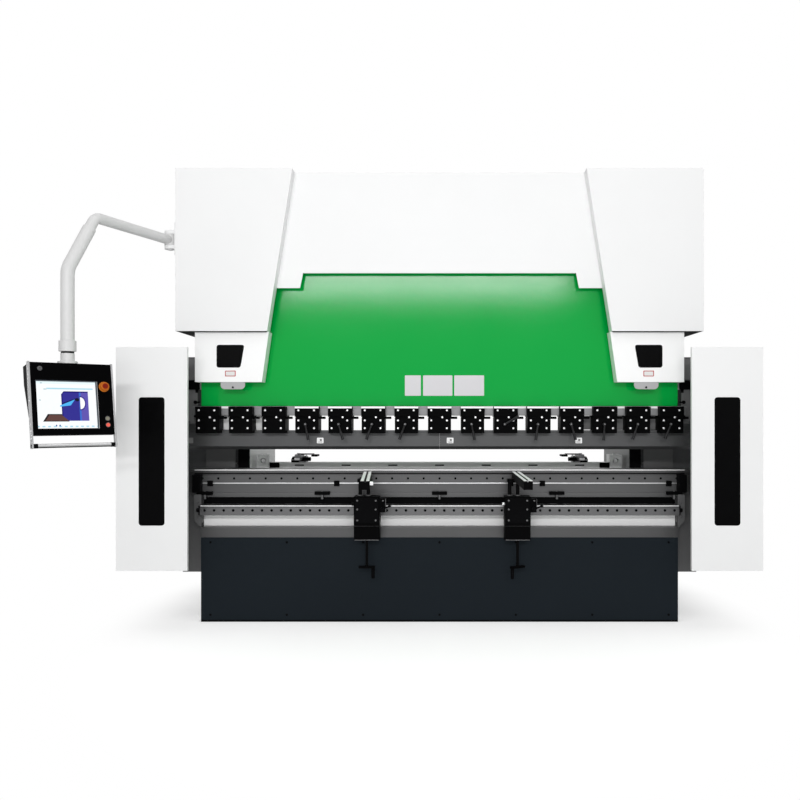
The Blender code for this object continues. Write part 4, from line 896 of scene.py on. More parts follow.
def makeGuard(label, side):
    body = label + "_guard_leaf"
    low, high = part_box(label + "_guard")
    inner, outer = sorted((abs(low.x), abs(high.x)))
    sheet = guardSizes["sheet"]
    hingeX, hingeY = outer - 0.012, 0.425
    front = low.y

    leaf = sideCube(side, inner, outer, front, hingeY - 0.016, low.z, high.z)
    hollow = sideCube(side, inner + sheet, outer - sheet, front + sheet, hingeY + 0.1, low.z - 0.1,
                      high.z + 0.1)
    trim = sideCube(side, inner - 0.1, inner + sheet + 0.01, front + guardSizes["return"], hingeY + 0.1,
                    low.z - 0.1, high.z + 0.1)
    x0, x1 = guardSizes["windowX"]
    z0, z1 = guardSizes["windowZ"]
    opening = plate(standing(((x0, z0), (x1, z0), (x1, z1), (x0, z1)), side, front - 0.01), 0.03,
                    guardSizes["radius"], 8)
    cutWith(leaf, hollow, trim, opening)
    softEdges(leaf, 0.0013, 2)
    knuckles = []
    for z in guardSizes["hinges"]:
        ring = startRod((hingeX * side, hingeY, (z - 0.03, z + 0.03)), 0.012, 28)
        tongue = sideCube(side, outer - sheet, outer, hingeY - 0.02, hingeY, z - 0.029, z + 0.029)
        knuckles += [softEdges(ring, 0.001), softEdges(tongue, 0.0008)]
    dress(label + "_guard_sheet", [leaf, *knuckles], whitePaint, body, label + "_guard")

    paneFront = front + 0.0006
    pane = plate(standing(((x0 + 0.0004, z0 + 0.0004), (x1 - 0.0004, z0 + 0.0004),
                           (x1 - 0.0004, z1 - 0.0004), (x0 + 0.0004, z1 - 0.0004)), side, paneFront),
                 0.005, guardSizes["radius"], 8)
    dress(label + "_guard_pane", [softEdges(pane, 0.0005)], windowPlastic, body, label + "_guard_window")
    # inside the leaf: the pane's retaining strips, their screws, a pull handle and a switch key
    strips, screws = [], []
    for x in (x0 - 0.014, x1 + 0.014):
        strips.append(sideCube(side, x - 0.01, x + 0.01, front + sheet, front + sheet + 0.003, z0 - 0.024,
                               z1 + 0.024))
        first = capScrew((x * side, (front + sheet + 0.002, front + sheet + 0.0062), z0), 0.0055)
        screws.append(repeat(first, 5, (0, 0, (z1 - z0) / 4)))
    for z in (z0 - 0.014, z1 + 0.014):
        strips.append(sideCube(side, x0 - 0.004, x1 + 0.004, front + sheet, front + sheet + 0.0028,
                               z - 0.01, z + 0.01))
    finishPiece(softEdges(joinUp(label + "_pane_strips", *strips), 0.0006), plateGrey, body)
    dress(label + "_pane_screws", screws, screwSteel, body)
    z0, z1 = guardSizes["handleZ"]
    gripY, wall = -0.3, outer - sheet
    grip = sideCube(side, wall - 0.03, wall - 0.0002, gripY - 0.012, gripY + 0.012, z0, z1)
    shape(grip, "polygons", lambda c, n: n.x * side < -0.9,
          (bpy.ops.transform.resize, {"value": (1, 0.7, 0.86)}))
    softEdges(grip, 0.004, 4)
    dress(label + "_guard_grip", [grip], blackPlastic, body)
    key = sideCube(side, inner + 0.01, inner + 0.04, front + sheet, front + sheet + 0.03, 1.6, 1.63)
    bolt = sideCube(side, inner + 0.018, inner + 0.032, front + sheet + 0.028, front + sheet + 0.05,
                    1.609, 1.621)
    dress(label + "_guard_key", [softEdges(key, 0.003, 3), softEdges(bolt, 0.001)], blackPlastic, body)


cheekSizes = {"x": (1.548, 1.612), "z": (1.25, 1.469), "y": (-0.034, -0.024), "block": (1.463, 1.522),
              "upper": 1.662, "post": (1.512, 1.55)}


def makeCheeks():
    # hangers under the head covers carry the cheek plates beside the tools
    plates, blocks, knobs, posts = [], [], [], []
    x0, x1 = cheekSizes["x"]
    z0, z1 = cheekSizes["z"]
    y0, y1 = cheekSizes["y"]
    for side in (-1, 1):
        sheet = sideCube(side, x0, x1, y0, y1, z0, z1)
        shape(sheet, "edges",
              lambda m, d: m.z < z0 + 0.001 and abs(m.x) > x1 - 0.001 and abs(d.y) > 0.005,
              bevelled(0.022))
        flange = sideCube(side, x0, x1, y0 - 0.012, y1, z0 - 0.004, z0)
        upper = sideCube(side, x0, x1 + 0.012, y0, y1, cheekSizes["block"][1] - 0.002,
                         cheekSizes["upper"])
        plates += [softEdges(sheet, 0.0012), softEdges(flange, 0.0008), softEdges(upper, 0.0012)]
        blocks.append(softEdges(sideCube(side, x0 - 0.012, x1 + 0.012, y0 - 0.02, y1 + 0.004,
                                         *cheekSizes["block"]), 0.003, 2))
        post = sideCube(side, *cheekSizes["post"], y1, y1 + 0.03, cheekSizes["block"][0], 1.8207)
        posts.append(softEdges(post, 0.002))
        mark = sideCube(side, x0 - 0.004, x0 + 0.014, y0 - 0.003, y0, z1 - 0.027, z1)
        blocks.append(softEdges(mark, 0.0015))
        x = (x0 + 0.012) * side
        for z, radius in ((1.382, 0.011), (1.292, 0.007)):
            knob = startRod((x, (y0 + 0.002, y0 - 0.018), z), radius, 20)
            stem = startRod(((x, x - side * 0.026), y0 - 0.004, z), 0.0045, 12)
            knobs += [softEdges(knob, 0.003, 3), stem]
    dress("cheek_plates", plates, cheekGrey)
    dress("cheek_blocks", blocks, blackOxide)
    dress("cheek_posts", posts, silverPaint)
    dress("cheek_knobs", knobs, blackPlastic)


signRed = paint("signRed", "button_red", (0.45, 0.03, 0.03), 0.45, patch=0.05)
cheekGrey = paint("cheekGrey", "frame_paint", (0.12, 0.12, 0.122), 0.5, patch=0.06)
makeCoverDetails()
makeShroudDetails()
for label, side in sides.items():
    makeGuard(label, side)
makeCheeks()
print("covers and guards dressed")


# Sheet supports on the rail

supportSizes = {
    "left": {"x": -0.447, "swivel": 3.7, "crankTurn": 0},
    "right": {"x": 0.48, "swivel": 0.0, "crankTurn": 210},
    "columns": (-0.045, 0.005), "columnY": -0.2, "screwY": -0.245,
    "armY": (-0.88, -0.13), "armHalf": 0.025, "armGroove": 0.005, "half": 0.0785,
    "plateLow": 0.64, "screwZs": (0.655, 0.722), "oddScrew": (0.022, 0.775), "pinZs": (0.905, 0.93),
    "gripX": 0.038, "gripTop": 0.352, "nutZ": (0.3725, 0.38), "threadTop": 0.526,
    "leverX": 0.097, "leverZ": 0.725, "tip": (0.045, 0.745), "knobZ": 0.752,
}


def turned(x, y, angle):
    # moves to x, y after a turn about the upright axis
    return Matrix.Translation((x, y, 0)) @ Matrix.Rotation(math.radians(angle), 4, "Z")


def makeSupport(label, side):
    sizes = supportSizes[label]
    x = sizes["x"]
    carriage = label + "_support_carriage"
    arm = label + "_support_arm"
    crank = label + "_crank"
    lever = label + "_lock_lever"
    low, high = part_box(carriage)
    dressNode(carriage, carriage + "_shape", blackOxide, 0.0018)
    front = low.y
    half = supportSizes["half"]
    columnY, screwY = supportSizes["columnY"], supportSizes["screwY"]
    # cover plate, cap screws and column bushes
    face = facePlate(x - half + 0.008, x + half - 0.008, supportSizes["plateLow"], high.z - 0.008,
                     front - 0.002, 0.0025, 0.004, 3)
    finishPiece(softEdges(joinUp(label + "_carriage_plate", face), 0.0005), blackPlastic, bodyOf[carriage])
    screws = [capScrew((x + dx, (front - 0.0015, front - 0.0065), z), 0.0058)
              for dx in (-half + 0.022, half - 0.022) for z in (*supportSizes["screwZs"], high.z - 0.024)]
    dx, z = supportSizes["oddScrew"]
    screws.append(capScrew((x + half + dx, (front + 0.001, front - 0.004), z), 0.005))
    for dx in supportSizes["columns"]:
        bush = startRod((x + dx, columnY, (high.z - 0.001, high.z + 0.006)), 0.0185, 28)
        bore = startRod((x + dx, columnY, (high.z - 0.02, high.z + 0.02)), 0.0116, 28)
        screws.append(softEdges(cutWith(bush, bore), 0.001))
    dress(label + "_carriage_screws", screws, railSteel, bodyOf[carriage])
    edges = [softCube((x + half + 0.0365, front - 0.0008, 0.706),
                      (x + half + 0.0382, front + 0.055, 0.786), 0.0006),
             softCube((x - half + 0.002, front + 0.0068, 0.6185),
                      (x + half - 0.002, front + 0.009, 0.6212), 0.0006),
             softCube((x - half + 0.004, front + 0.0065, 0.532),
                      (x + half - 0.004, front + 0.0085, 0.5345), 0.0006)]
    dress(label + "_carriage_edges", edges, barSteel, bodyOf[carriage])

    dressNode(arm, arm + "_shape", blackOxide, 0.0016)
    turn = turned(x, columnY, sizes["swivel"])
    y0, y1 = (y - columnY for y in supportSizes["armY"])
    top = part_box(arm)[1].z
    a, b = supportSizes["armGroove"] + 0.0012, supportSizes["armHalf"] - 0.0012
    lands = [softCube((a * edge, y0 + 0.001, top - 0.001), (b * edge, y1 - 0.001, top + 0.0022), 0.0006)
             for edge in (-1, 1)]
    strips = joinUp("strips", *lands)
    strips.matrix_world = turn
    finishPiece(settle(strips, label + "_arm_strips"), armStrip, bodyOf[arm])
    extras = []
    if side < 0:
        # a small block on the arm's side near its end is the sheet stop
        stop = softCube((0.0252, y0 + 0.004, top - 0.024), (0.0445, y0 + 0.03, top - 0.004), 0.002)
        screw = capScrew((0.035, (y0 + 0.0045, y0 - 0.001), top - 0.014), 0.005)
        extras += [stop, screw]
    else:
        bolt = capScrew((0.0, y0 + 0.02, (top - 0.006, top + 0.001)), 0.0042)
        extras.append(bolt)
    extras += [startRod(((-0.0255, 0.0255), -0.02, z), 0.0035, 14) for z in supportSizes["pinZs"]]
    stops = joinUp("stops", *extras)
    stops.matrix_world = turn
    finishPiece(settle(stops, label + "_arm_stop"), screwSteel, bodyOf[arm])

    # smooth column sleeves over the lift columns
    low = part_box(arm)[0].z + 0.002
    columns = [smooth(startRod((x + dx, columnY, (low, top - 0.055)), 0.0113, 40))
               for dx in supportSizes["columns"]]
    dress(label + "_columns", columns, darkTurned, bodyOf[arm])

    dressNode(crank, crank + "_shape", blackOxide, 0.0012)
    gripX, gripTop = supportSizes["gripX"], supportSizes["gripTop"]
    grip = startRod((gripX, 0, (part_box(crank)[0].z + 0.0005, gripTop)), 0.0104, 24, 0.011)
    ringCap = startRod((gripX, 0, (gripTop, gripTop + 0.0052)), 0.0075, 20)
    grips = joinUp("grips", softEdges(grip, 0.0035, 4), ringCap)
    grips.matrix_world = turned(x, screwY, sizes["crankTurn"])
    finishPiece(settle(grips, label + "_crank_grip"), blackPlastic, bodyOf[crank])
    z0, z1 = supportSizes["nutZ"]
    nut = startRod((x, screwY, (z0, z1)), 0.0125, 6)
    thread = startRod((x, screwY, (z1, supportSizes["threadTop"])), 0.0083, 24)
    ring = startRod((x, screwY, (z1 + 0.004, z1 + 0.0055)), 0.0088, 18)
    rings = repeat(ring, 46, (0, 0, 0.003))
    dress(label + "_crank_thread", [softEdges(nut, 0.001), thread, rings], darkTurned, bodyOf[crank])

    dressNode(lever, lever + "_shape", blackPlastic, 0.0008)
    pivot, (dx, z) = x + supportSizes["leverX"], supportSizes["tip"]
    tip = startBall((pivot + dx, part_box(lever)[0].y + 0.009, z), 0.0098, 24, 14)
    collar = startRod((pivot, (front - 0.0008, front - 0.006), supportSizes["leverZ"]), 0.0128, 24)
    dress(label + "_lever_tip", [smooth(tip), softEdges(collar, 0.001)], darkTurned, bodyOf[lever])
    knob = startRod(((x - half + 0.002, x - half - 0.016), front + 0.03, supportSizes["knobZ"]), 0.011, 20)
    finish = darkTurned if side < 0 else turnedSteel
    finishPiece(softEdges(joinUp(label + "_carriage_knob", knob), 0.002, 2), finish, bodyOf[carriage])


armStrip = metal("armStrip", "bright_steel", (0.95, 0.95, 0.955), 0.45, brush=(1, 40, 1), wear=0.04,
                 metallic=0.1)
darkTurned = metal("darkTurned", "bright_steel", (0.002, 0.002, 0.0022), 0.34, brush=(1, 1, 1), grain=500,
                   wear=0.2, metallic=0.0, specularIorLevel=0.04)
for label, side in sides.items():
    makeSupport(label, side)
print("sheet supports dressed")


# Control arm and head

armSizes = {"pivot": (-1.695, -0.12), "elbow": (-1.917, -0.74), "riser": (-2.003, -0.897),
            "level": 2.4, "knee": 2.087, "foot": 1.64, "elbowBend": 0.06, "kneeBend": 0.12,
            "levelRadius": 0.03, "riserRadius": 0.036, "hubHalf": 0.035, "nutOff": 0.0573,
            "gasketZ": (1.631, 1.6396), "neckZ": (1.532, 1.6325), "flangeZ": (1.549, 1.589)}


def bentPath(points, bend, steps=14):
    # the points with every inner corner turned into an arc
    points = [Vector(p) for p in points]
    route = [points[0]]
    for before, corner, after in zip(points, points[1:], points[2:]):
        back, ahead = (before - corner).normalized(), (after - corner).normalized()
        half = back.angle(ahead) / 2
        reach = bend / math.tan(half)
        middle = corner + (back + ahead).normalized() * bend / math.sin(half)
        first = (corner + back * reach - middle).normalized()
        last = (corner + ahead * reach - middle).normalized()
        route += [middle + first.slerp(last, step / steps) * bend for step in range(steps + 1)]
    return route + [points[-1]]


def startPipe(route, radius, rounds=8):
    curve = bpy.data.curves.new("pipe", "CURVE")
    curve.dimensions = "3D"
    curve.bevel_depth = radius
    curve.bevel_resolution = rounds
    curve.use_fill_caps = True
    line = curve.splines.new("POLY")
    line.points.add(len(route) - 1)
    for point, spot in zip(line.points, route):
        point.co = (*spot, 1)
    obj = bpy.data.objects.new("pipe", curve)
    bpy.context.scene.collection.objects.link(obj)
    chooseOnly(obj)
    bpy.ops.object.convert(target="MESH")
    obj = bpy.context.object
    shape(obj, "vertices", lambda co: True, (bpy.ops.mesh.remove_doubles, {"threshold": 0.00005}),
          (bpy.ops.mesh.normals_make_consistent, {"inside": False}))
    return smooth(settle(obj), 50)


def makeArm():
    z = armSizes["level"]
    pivot = Vector((*armSizes["pivot"], z))
    elbow = Vector((*armSizes["elbow"], z))
    knee = Vector((*armSizes["riser"], armSizes["knee"]))
    foot = Vector((*armSizes["riser"], armSizes["foot"] + 0.01))
    level = startPipe(bentPath((pivot, elbow, elbow.lerp(knee, 0.5)), armSizes["elbowBend"]),
                      armSizes["levelRadius"])
    riser = startPipe(bentPath((elbow.lerp(knee, 0.22), knee, foot), armSizes["kneeBend"]),
                      armSizes["riserRadius"], 10)
    reach = Vector((0, 0, armSizes["hubHalf"]))
    hub = startRod(zip(pivot - reach, pivot + reach), 0.036, 40)
    x, y = armSizes["riser"]
    collar = startRod((x, y, (armSizes["foot"] + 0.002, armSizes["foot"] + 0.06)), 0.045, 48)
    # a reducer joins the level tube to the wider riser
    start = elbow.lerp(knee, 0.2)
    cone = startRod(zip(start, start + (knee - elbow).normalized() * 0.03), 0.031, 36, 0.0365)
    arm = joinUp("swivel_arm_tube", level, riser, softEdges(hub, 0.002, 3), softEdges(collar, 0.003, 3),
                 smooth(cone))
    finishPiece(arm, armWhite, "control_arm", "swivel_arm")
    z0, z1 = armSizes["nutOff"], armSizes["nutOff"] + 0.006
    caps = [softEdges(startRod((pivot.x, pivot.y, (pivot.z + z0 * up, pivot.z + z1 * up)), 0.016, 6), 0.001)
            for up in (1, -1)]
    dress("pivot_nuts", caps, screwSteel)
    ring = startRod((x, y, armSizes["gasketZ"]), 0.0335, 36)
    finishPiece(softEdges(joinUp("swivel_gasket", ring), 0.001), blackPlastic, "head")


headSizes = {
    "place": (-1.9669, -0.9385, 1.577), "pitch": -10, "yaw": 41, "half": 0.2075, "height": 0.387,
    "depth": 0.12, "taper": 0.1, "foot": 0.03,
    "screen": (-0.181, 0.119, -0.3525, -0.103), "stop": (0.1655, -0.126),
    "start": (0.1746, -0.3), "cycleStop": (0.1755, -0.3355), "key": (-0.159, -0.034),
    "barZ": -0.442, "barY": 0.008, "barRadius": 0.01125,
}
headTurn = Euler((math.radians(headSizes["pitch"]), 0, math.radians(headSizes["yaw"])), "XYZ")
headPlace = Matrix.Translation(headSizes["place"]) @ headTurn.to_matrix().to_4x4()


def onHead(obj, name, finish, body="head", *replaced):
    # set down from the head's own axes: x across the face, y into it, z up
    obj.matrix_world = headPlace
    finishPiece(settle(obj, name), finish, body, *replaced)


def makeScreenFinish():
    # a plain working picture: a machine's side with its throat, a sheet being bent and a row of keys
    finish = Finish("screenPicture", "button_grey", metallic=0.0, roughness=0.5, specularIorLevel=0.05,
                    emissionStrength=1.0)
    x, _, z = finish.axes(finish.place(headSizes["place"], tuple(headTurn)))
    left, right, low, high = headSizes["screen"]
    # a runs from the left edge, t from the top, both from 0 to 1
    a = (x - left) / (right - left)
    t = (z - high) / (low - high)

    def between(value, start, end):
        return (value > start) * (value < end)

    def spot(ca, ct, ra, rt):
        da, dt = (a - ca) / ra, (t - ct) / rt
        return (da * da + dt * dt) < 1.0

    cloud = finish.noise(60, 2)
    layer = finish.mix(cloud, (0.93, 0.98, 1.0), (1.0, 1.0, 1.0))
    corners = ((a + t * 0.65) > 0.58) * ((a - t * 0.95) > -0.28)
    side = between(t, 0.205, 0.84) * between(a, 0.403, 0.862) * corners
    corners = ((a + t * 0.65) > 0.6) * ((a - t * 0.95) > -0.28)
    inner = between(t, 0.232, 0.84) * between(a, 0.424, 0.862) * corners
    sheet = ((t + a * 0.516) > 0.706) * ((t + a * 0.16) < 0.598) * ((a + t * 0.6) < 0.862)
    grey, dark = (0.45, 0.62, 0.66), (0.012, 0.075, 0.3)
    # each mask with its colour, from the back to the front
    for mask, colour in (
        (t < 0.05, (0.84, 0.97, 1.0)),
        (between(t, 0.135, 0.165) * between(a, 0.165, 0.95), (0.42, 0.74, 0.86)),
        (spot(0.08, 0.035, 0.02, 0.012), grey),
        (spot(0.14, 0.165, 0.03, 0.012), grey),
        (spot(0.05, 0.4, 0.015, 0.015), grey),
        (between(t, 0.695, 0.855) * ((a + t * 0.52) > 0.528) * (a < 0.52), (0.004, 0.002, 0.002)),
        (between(t, 0.715, 0.84) * ((a + t * 0.52) > 0.56) * (a < 0.52), (0.115, 0.05, 0.042)),
        (side, (0.004, 0.0, 0.16)),
        (inner, (0.026, 0.022, 0.28)),
        (inner * (a > 0.705), (0.035, 0.15, 0.62)),
        (inner * (a > 0.735), (0.115, 0.085, 0.44)),
        (spot(0.722, 0.46, 0.098, 0.155) * (a > 0.715), (0.02, 0.012, 0.24)),
        (spot(0.722, 0.46, 0.08, 0.13) * (a > 0.722), (1.0, 1.0, 1.0)),
        (between(t + a * 0.44, 0.64, 0.668) * between(a, 0.42, 0.66), (0.003, 0.0, 0.1)),
        (sheet * (a > 0.375), (0.075, 0.47, 0.95)),
        (spot(0.672, 0.385, 0.036, 0.036), (0.0, 0.0, 0.012)),
        ((a.wrapped(0.092) < 0.024) * between(t, 0.945, 0.975), (0.42, 0.72, 0.86)),
        (spot(0.3, 0.94, 0.012, 0.02), dark),
        (spot(0.358, 0.94, 0.012, 0.02), dark),
    ):
        layer = finish.mix(mask, layer, colour)
    finish.set("baseColor", (0.01, 0.01, 0.01))
    finish.set("emissionColor", layer)
    return finish


def makeHead():
    half, height, depth = headSizes["half"], headSizes["height"], headSizes["depth"]
    body = startCube((-half, 0, -headSizes["taper"]), (half, depth, 0))
    shape(body, "polygons", lambda c, n: n.z < -0.9,
          (bpy.ops.mesh.extrude_region_move,
           {"TRANSFORM_OT_translate": {"value": (0, 0, headSizes["taper"] - height)}}))
    shape(body, "edges", lambda m, d: m.z < 0.001 - height and m.y > depth - 0.001,
          (bpy.ops.transform.translate, {"value": (0, headSizes["foot"] - depth, 0)}))
    onHead(softEdges(body, 0.0035, 3), "head_casing", blackPlastic, "head", "control_head")
    face = facePlate(-0.2035, 0.2035, -0.3835, -0.0035, -0.0016, 0.0022, 0.006)
    onHead(softEdges(face, 0.0006), "head_face", glossBlack)
    left, right, low, high = headSizes["screen"]
    picture = facePlate(left, right, low, high, -0.0024, 0.0012, 0.001, 2)
    onHead(smooth(picture), "head_screen", makeScreenFinish())
    frames = [facePlate(left - 0.003, right + 0.004, high, high + 0.006, -0.0026, 0.0012, 0.001, 2),
              facePlate(right + 0.0008, right + 0.0075, low - 0.003, high + 0.006, -0.0026, 0.0012, 0.001, 2)]
    onHead(smooth(joinUp("bezel", *frames)), "screen_bezel", bezelGrey)
    edge = facePlate(right + 0.0088, right + 0.0102, low - 0.002, high + 0.004, -0.0026, 0.001, 0.0004, 2)
    onHead(smooth(edge), "bezel_edge", aluminium)
    x, z = headSizes["key"]
    lock = capScrew((x, (0, -0.0065), z), 0.0085, 24)
    collar = startRod((x, (0, -0.0036), z), 0.0125, 28)
    onHead(joinUp("lock", lock, softEdges(collar, 0.001)), "head_lock", plateGrey)
    # pale neck and flange above the casing
    rx, ry = armSizes["riser"]
    neck = startRod((rx, ry, armSizes["neckZ"]), 0.036, 48)
    flange = startRod((rx, ry, armSizes["flangeZ"]), 0.051, 48)
    dress("head_neck", [softEdges(neck, 0.002, 3), softEdges(flange, 0.003, 3)], armWhite, "head")
    # vents and screws on the casing's rear face
    rows = [-0.022 - row * 0.01 for row in range(7)]
    vents = [startCube((-0.07, depth - 0.0004, v - 0.0022), (0.07, depth + 0.0014, v + 0.0022)) for v in rows]
    onHead(softEdges(joinUp("vents", *vents), 0.0008), "head_vents", plateGrey)
    screws = [capScrew((sx, (depth - 0.001, depth + 0.0022), sz), 0.0042) for sx in (-0.19, 0.19)
              for sz in (-0.015, -0.088)]
    onHead(joinUp("screws", *screws), "head_rear_screws", screwSteel)


def makeHandle():
    half = headSizes["half"]
    barZ, barY, radius = headSizes["barZ"], headSizes["barY"], headSizes["barRadius"]
    rails, caps = [], []
    for side in (-1, 1):
        x0, x1 = side * (half + 0.0003), side * (half + 0.0103)
        rail = startCube((x0, -0.004, barZ - 0.0125), (x1, 0.02, 0.003))
        groove = startCube((side * (half + 0.0088), 0.005, barZ + 0.02),
                           (side * (half + 0.014), 0.011, 0.02))
        rails.append(softEdges(cutWith(rail, groove), 0.0016, 2))
        cap = startRod(((side * (half + 0.0094), side * (half + 0.0106)), barY, barZ), 0.0122, 32)
        plug = startRod(((side * (half - 0.022), side * (half + 0.0008)), barY, barZ), radius + 0.001, 32)
        caps += [softEdges(cap, 0.0004), softEdges(plug, 0.001)]
    bar = startRod(((-half - 0.001, half + 0.001), barY, barZ), radius, 40)
    onHead(joinUp("rails", *rails), "handle_rails", sideSilver, "head", "head_handle")
    onHead(smooth(bar), "handle_bar", makeBarFinish())
    onHead(joinUp("caps", *caps), "handle_ends", blackPlastic)


def makeStopFinish():
    # a red button whose rounded rim carries a painted amber highlight
    finish = Finish("stopRed", "stop_red", metallic=0.0, roughness=0.45, specularIorLevel=0.15)
    x, _, z = finish.axes(finish.place(headSizes["place"], tuple(headTurn)))
    across, down = headSizes["stop"]
    x, z = x - across, z - down
    rimHighlight = finish.add("ShaderNodeMapRange", {"interpolation_type": "SMOOTHSTEP"},
                     {"Value": finish.math("SQRT", x * x + z * z), "From Min": 0.0125, "From Max": 0.0185})
    cloud = finish.noise(400, 3)
    middle = finish.mix(cloud, (0.15, 0.006, 0.001), (0.24, 0.012, 0.002))
    finish.set("baseColor", finish.mix(rimHighlight, middle, (0.5, 0.125, 0.01)))
    return finish.bump(cloud, 0.0002, 0.3)


def makeBarFinish():
    # a silver bar whose underside is painted black as shade
    finish = Finish("barSilver", "silver_aluminium", metallic=1.0, roughness=0.36)
    _, y, z = finish.axes(finish.place(headSizes["place"], tuple(headTurn)))
    shadedUnderside = finish.add("ShaderNodeMapRange", {"interpolation_type": "SMOOTHSTEP"},
                       {"Value": (z - headSizes["barZ"]) * -1 + (y - headSizes["barY"]) * 0.35,
                        "From Min": 0.0015, "From Max": 0.0055})
    lines = finish.noise(500, 3, (1, 40, 40))
    silver = finish.mix(lines, (0.42, 0.42, 0.425), (0.6, 0.6, 0.605))
    finish.set("baseColor", finish.mix(shadedUnderside, silver, (0.006, 0.006, 0.006)))
    return finish.bump(lines, 0.0001, 0.3)


def makeHeadButtons():
    x, z = headSizes["stop"]
    ring = startRod((x, (0.001, -0.0042), z), 0.028, 48)
    onHead(softEdges(ring, 0.0014, 2), "stop_ring", stopYellow)
    stem = startRod((x, (0.024, -0.012), z), 0.009, 28)
    cap = startRod((x, (-0.01, -0.024), z), 0.0225, 44)
    shape(cap, "polygons", lambda c, n: n.y < -0.9,
          inset(0.0075, 0.0))
    stop = joinUp("stop", smooth(stem), softEdges(cap, 0.0042, 5, 50))
    onHead(stop, "stop_button", stopRed, "stop_cap", "emergency_stop")
    for node, spot, finish, body in (("start_button", "start", keyGrey, "start_key"),
                                     ("cycle_stop_button", "cycleStop", keyRed, "cycle_stop_key")):
        x, z = headSizes[spot]
        collar = startRod((x, (0.0, -0.0026), z), 0.0132, 36)
        bore = startRod((x, (0.01, -0.01), z), 0.0109, 36)
        onHead(softEdges(cutWith(collar, bore), 0.0006), node + "_collar", plateGrey)
        key = startRod((x, (0.008, -0.004), z), 0.0105, 36)
        shape(key, "polygons", lambda c, n: n.y < -0.9,
              inset(0.003, -0.0006))
        onHead(softEdges(key, 0.0008, 3, 50), node + "_cap", finish, body, node)


sideSilver = metal("sideSilver", "silver_aluminium", (0.38, 0.38, 0.385), 0.34, brush=(1, 1, 60), wear=0.1,
                   metallic=1.0)
armWhite = paint("armWhite", "white_paint", (0.67, 0.67, 0.67), 0.4, peel=(420, 0.0002),
                 specularIorLevel=0.35)
glossBlack = moulded("glossBlack", "black_plastic", (0.0006, 0.0006, 0.0008), 0.45, pebble=1200,
                     specularIorLevel=0.02)
bezelGrey = paint("bezelGrey", "black_plastic", (0.055, 0.07, 0.085), 0.4)
stopYellow = moulded("stopYellow", "button_red", (0.52, 0.15, 0.012), 0.45, specularIorLevel=0.2)
stopRed = makeStopFinish()
keyGrey = moulded("keyGrey", "button_grey", (0.22, 0.205, 0.16), 0.5, specularIorLevel=0.2)
keyRed = moulded("keyRed", "button_red", (0.72, 0.11, 0.08), 0.4, emissionColor=(0.9, 0.12, 0.08, 1),
                 emissionStrength=0.2, specularIorLevel=0.2)
makeArm()
makeHead()
makeHandle()
makeHeadButtons()
print("arm and head dressed")


# Back gauge

gaugeSizes = {"y": (0.52, 0.64), "barZ": (0.9003, 0.9253), "half": 1.285, "post": 0.085, "postTop": 1.0203,
              "beamY": (0.53, 0.62), "beamZ": (0.9256, 0.9656), "beamHalf": 1.1997, "finger": 0.98,
              "railX": (1.2197, 1.3097), "railY": (0.4, 1.05), "insertPitch": 0.33,
              "switchX": (1.13, 1.195)}


def makeGauge():
    front, back = gaugeSizes["y"]
    low, high = gaugeSizes["barZ"]
    half, post, top = (gaugeSizes[name] for name in ("half", "post", "postTop"))
    bar = startCube((-half, front, low), (half, back, high))
    cutters = [startCube((x - 0.06, front + 0.035, low + 0.006), (x + 0.06, back - 0.035, high + 0.01))
               for x in (-0.8, -0.4, 0.0, 0.4, 0.8)]
    bar = softEdges(cutWith(bar, *cutters), 0.0015)
    posts = []
    for side in (-1, 1):
        x0, x1 = side * (half - post), side * half
        block = startCube((x0, front, high - 0.01), (x1, back, top))
        hole = startRod(((x0 + x1) / 2, (front - 0.01, front + 0.03), 0.978), 0.019, 32)
        posts.append(softEdges(cutWith(block, hole), 0.002, 3))
    dress("gauge_carriage_bar", [bar, *posts], postSteel, "gauge_slide", "gauge_carriage")
    details = []
    for side in (-1, 1):
        middle = side * (half - post / 2)
        details.append(startRod((middle, (front + 0.004, front + 0.03), 0.978), 0.0135, 28))
        for dx in (-0.03, 0.03):
            for z in (0.94, 1.008):
                details.append(capScrew((middle + dx, (front + 0.002, front - 0.0035), z), 0.0055))
        for y in (front + 0.022, back - 0.022):
            details.append(capScrew((middle, y, (top - 0.002, top + 0.004)), 0.0065))
    dress("gauge_carriage_screws", details, screwSteel, "gauge_slide")
    # the lift beam is a slotted aluminium section with end caps; its near-white diffuse colour paints light
    # onto it in the shade under the ram
    front, back = gaugeSizes["beamY"]
    low, high = gaugeSizes["beamZ"]
    half = gaugeSizes["beamHalf"] - 0.004
    beam = startCube((-half, front, low), (half, back, high))
    cutters = [startCube((-half - 0.01, front - 0.01, low + 0.016),
                         (half + 0.01, front + 0.008, low + 0.024)),
               startCube((-half - 0.01, back - 0.008, low + 0.016),
                         (half + 0.01, back + 0.01, low + 0.024)),
               startCube((-half - 0.01, front + 0.04, high - 0.007),
                         (half + 0.01, front + 0.048, high + 0.01))]
    dress("beam", [softEdges(cutWith(beam, *cutters), 0.0008)], beamSilverAndPaintedLight, "gauge_bar", "gauge_beam")
    # black inserts in the front groove and a switch box at each end
    spots = [number * gaugeSizes["insertPitch"] for number in range(-3, 4)]
    inserts = [softCube((x - 0.032, front - 0.0008, low + 0.0155), (x + 0.032, front + 0.004, low + 0.0245),
                        0.0006) for x in spots]
    x0, x1 = gaugeSizes["switchX"]
    inserts += [softEdges(sideCube(side, x0, x1, front - 0.015, front + 0.001, low + 0.0025, high - 0.001),
                          0.002) for side in (-1, 1)]
    dress("gauge_beam_inserts", inserts, blackPlastic, "gauge_bar")
    caps = [softCube((side * half, front, low), (side * (half + 0.004), back, high), 0.001)
            for side in (-1, 1)]
    dress("gauge_beam_caps", caps, blackPlastic, "gauge_bar")


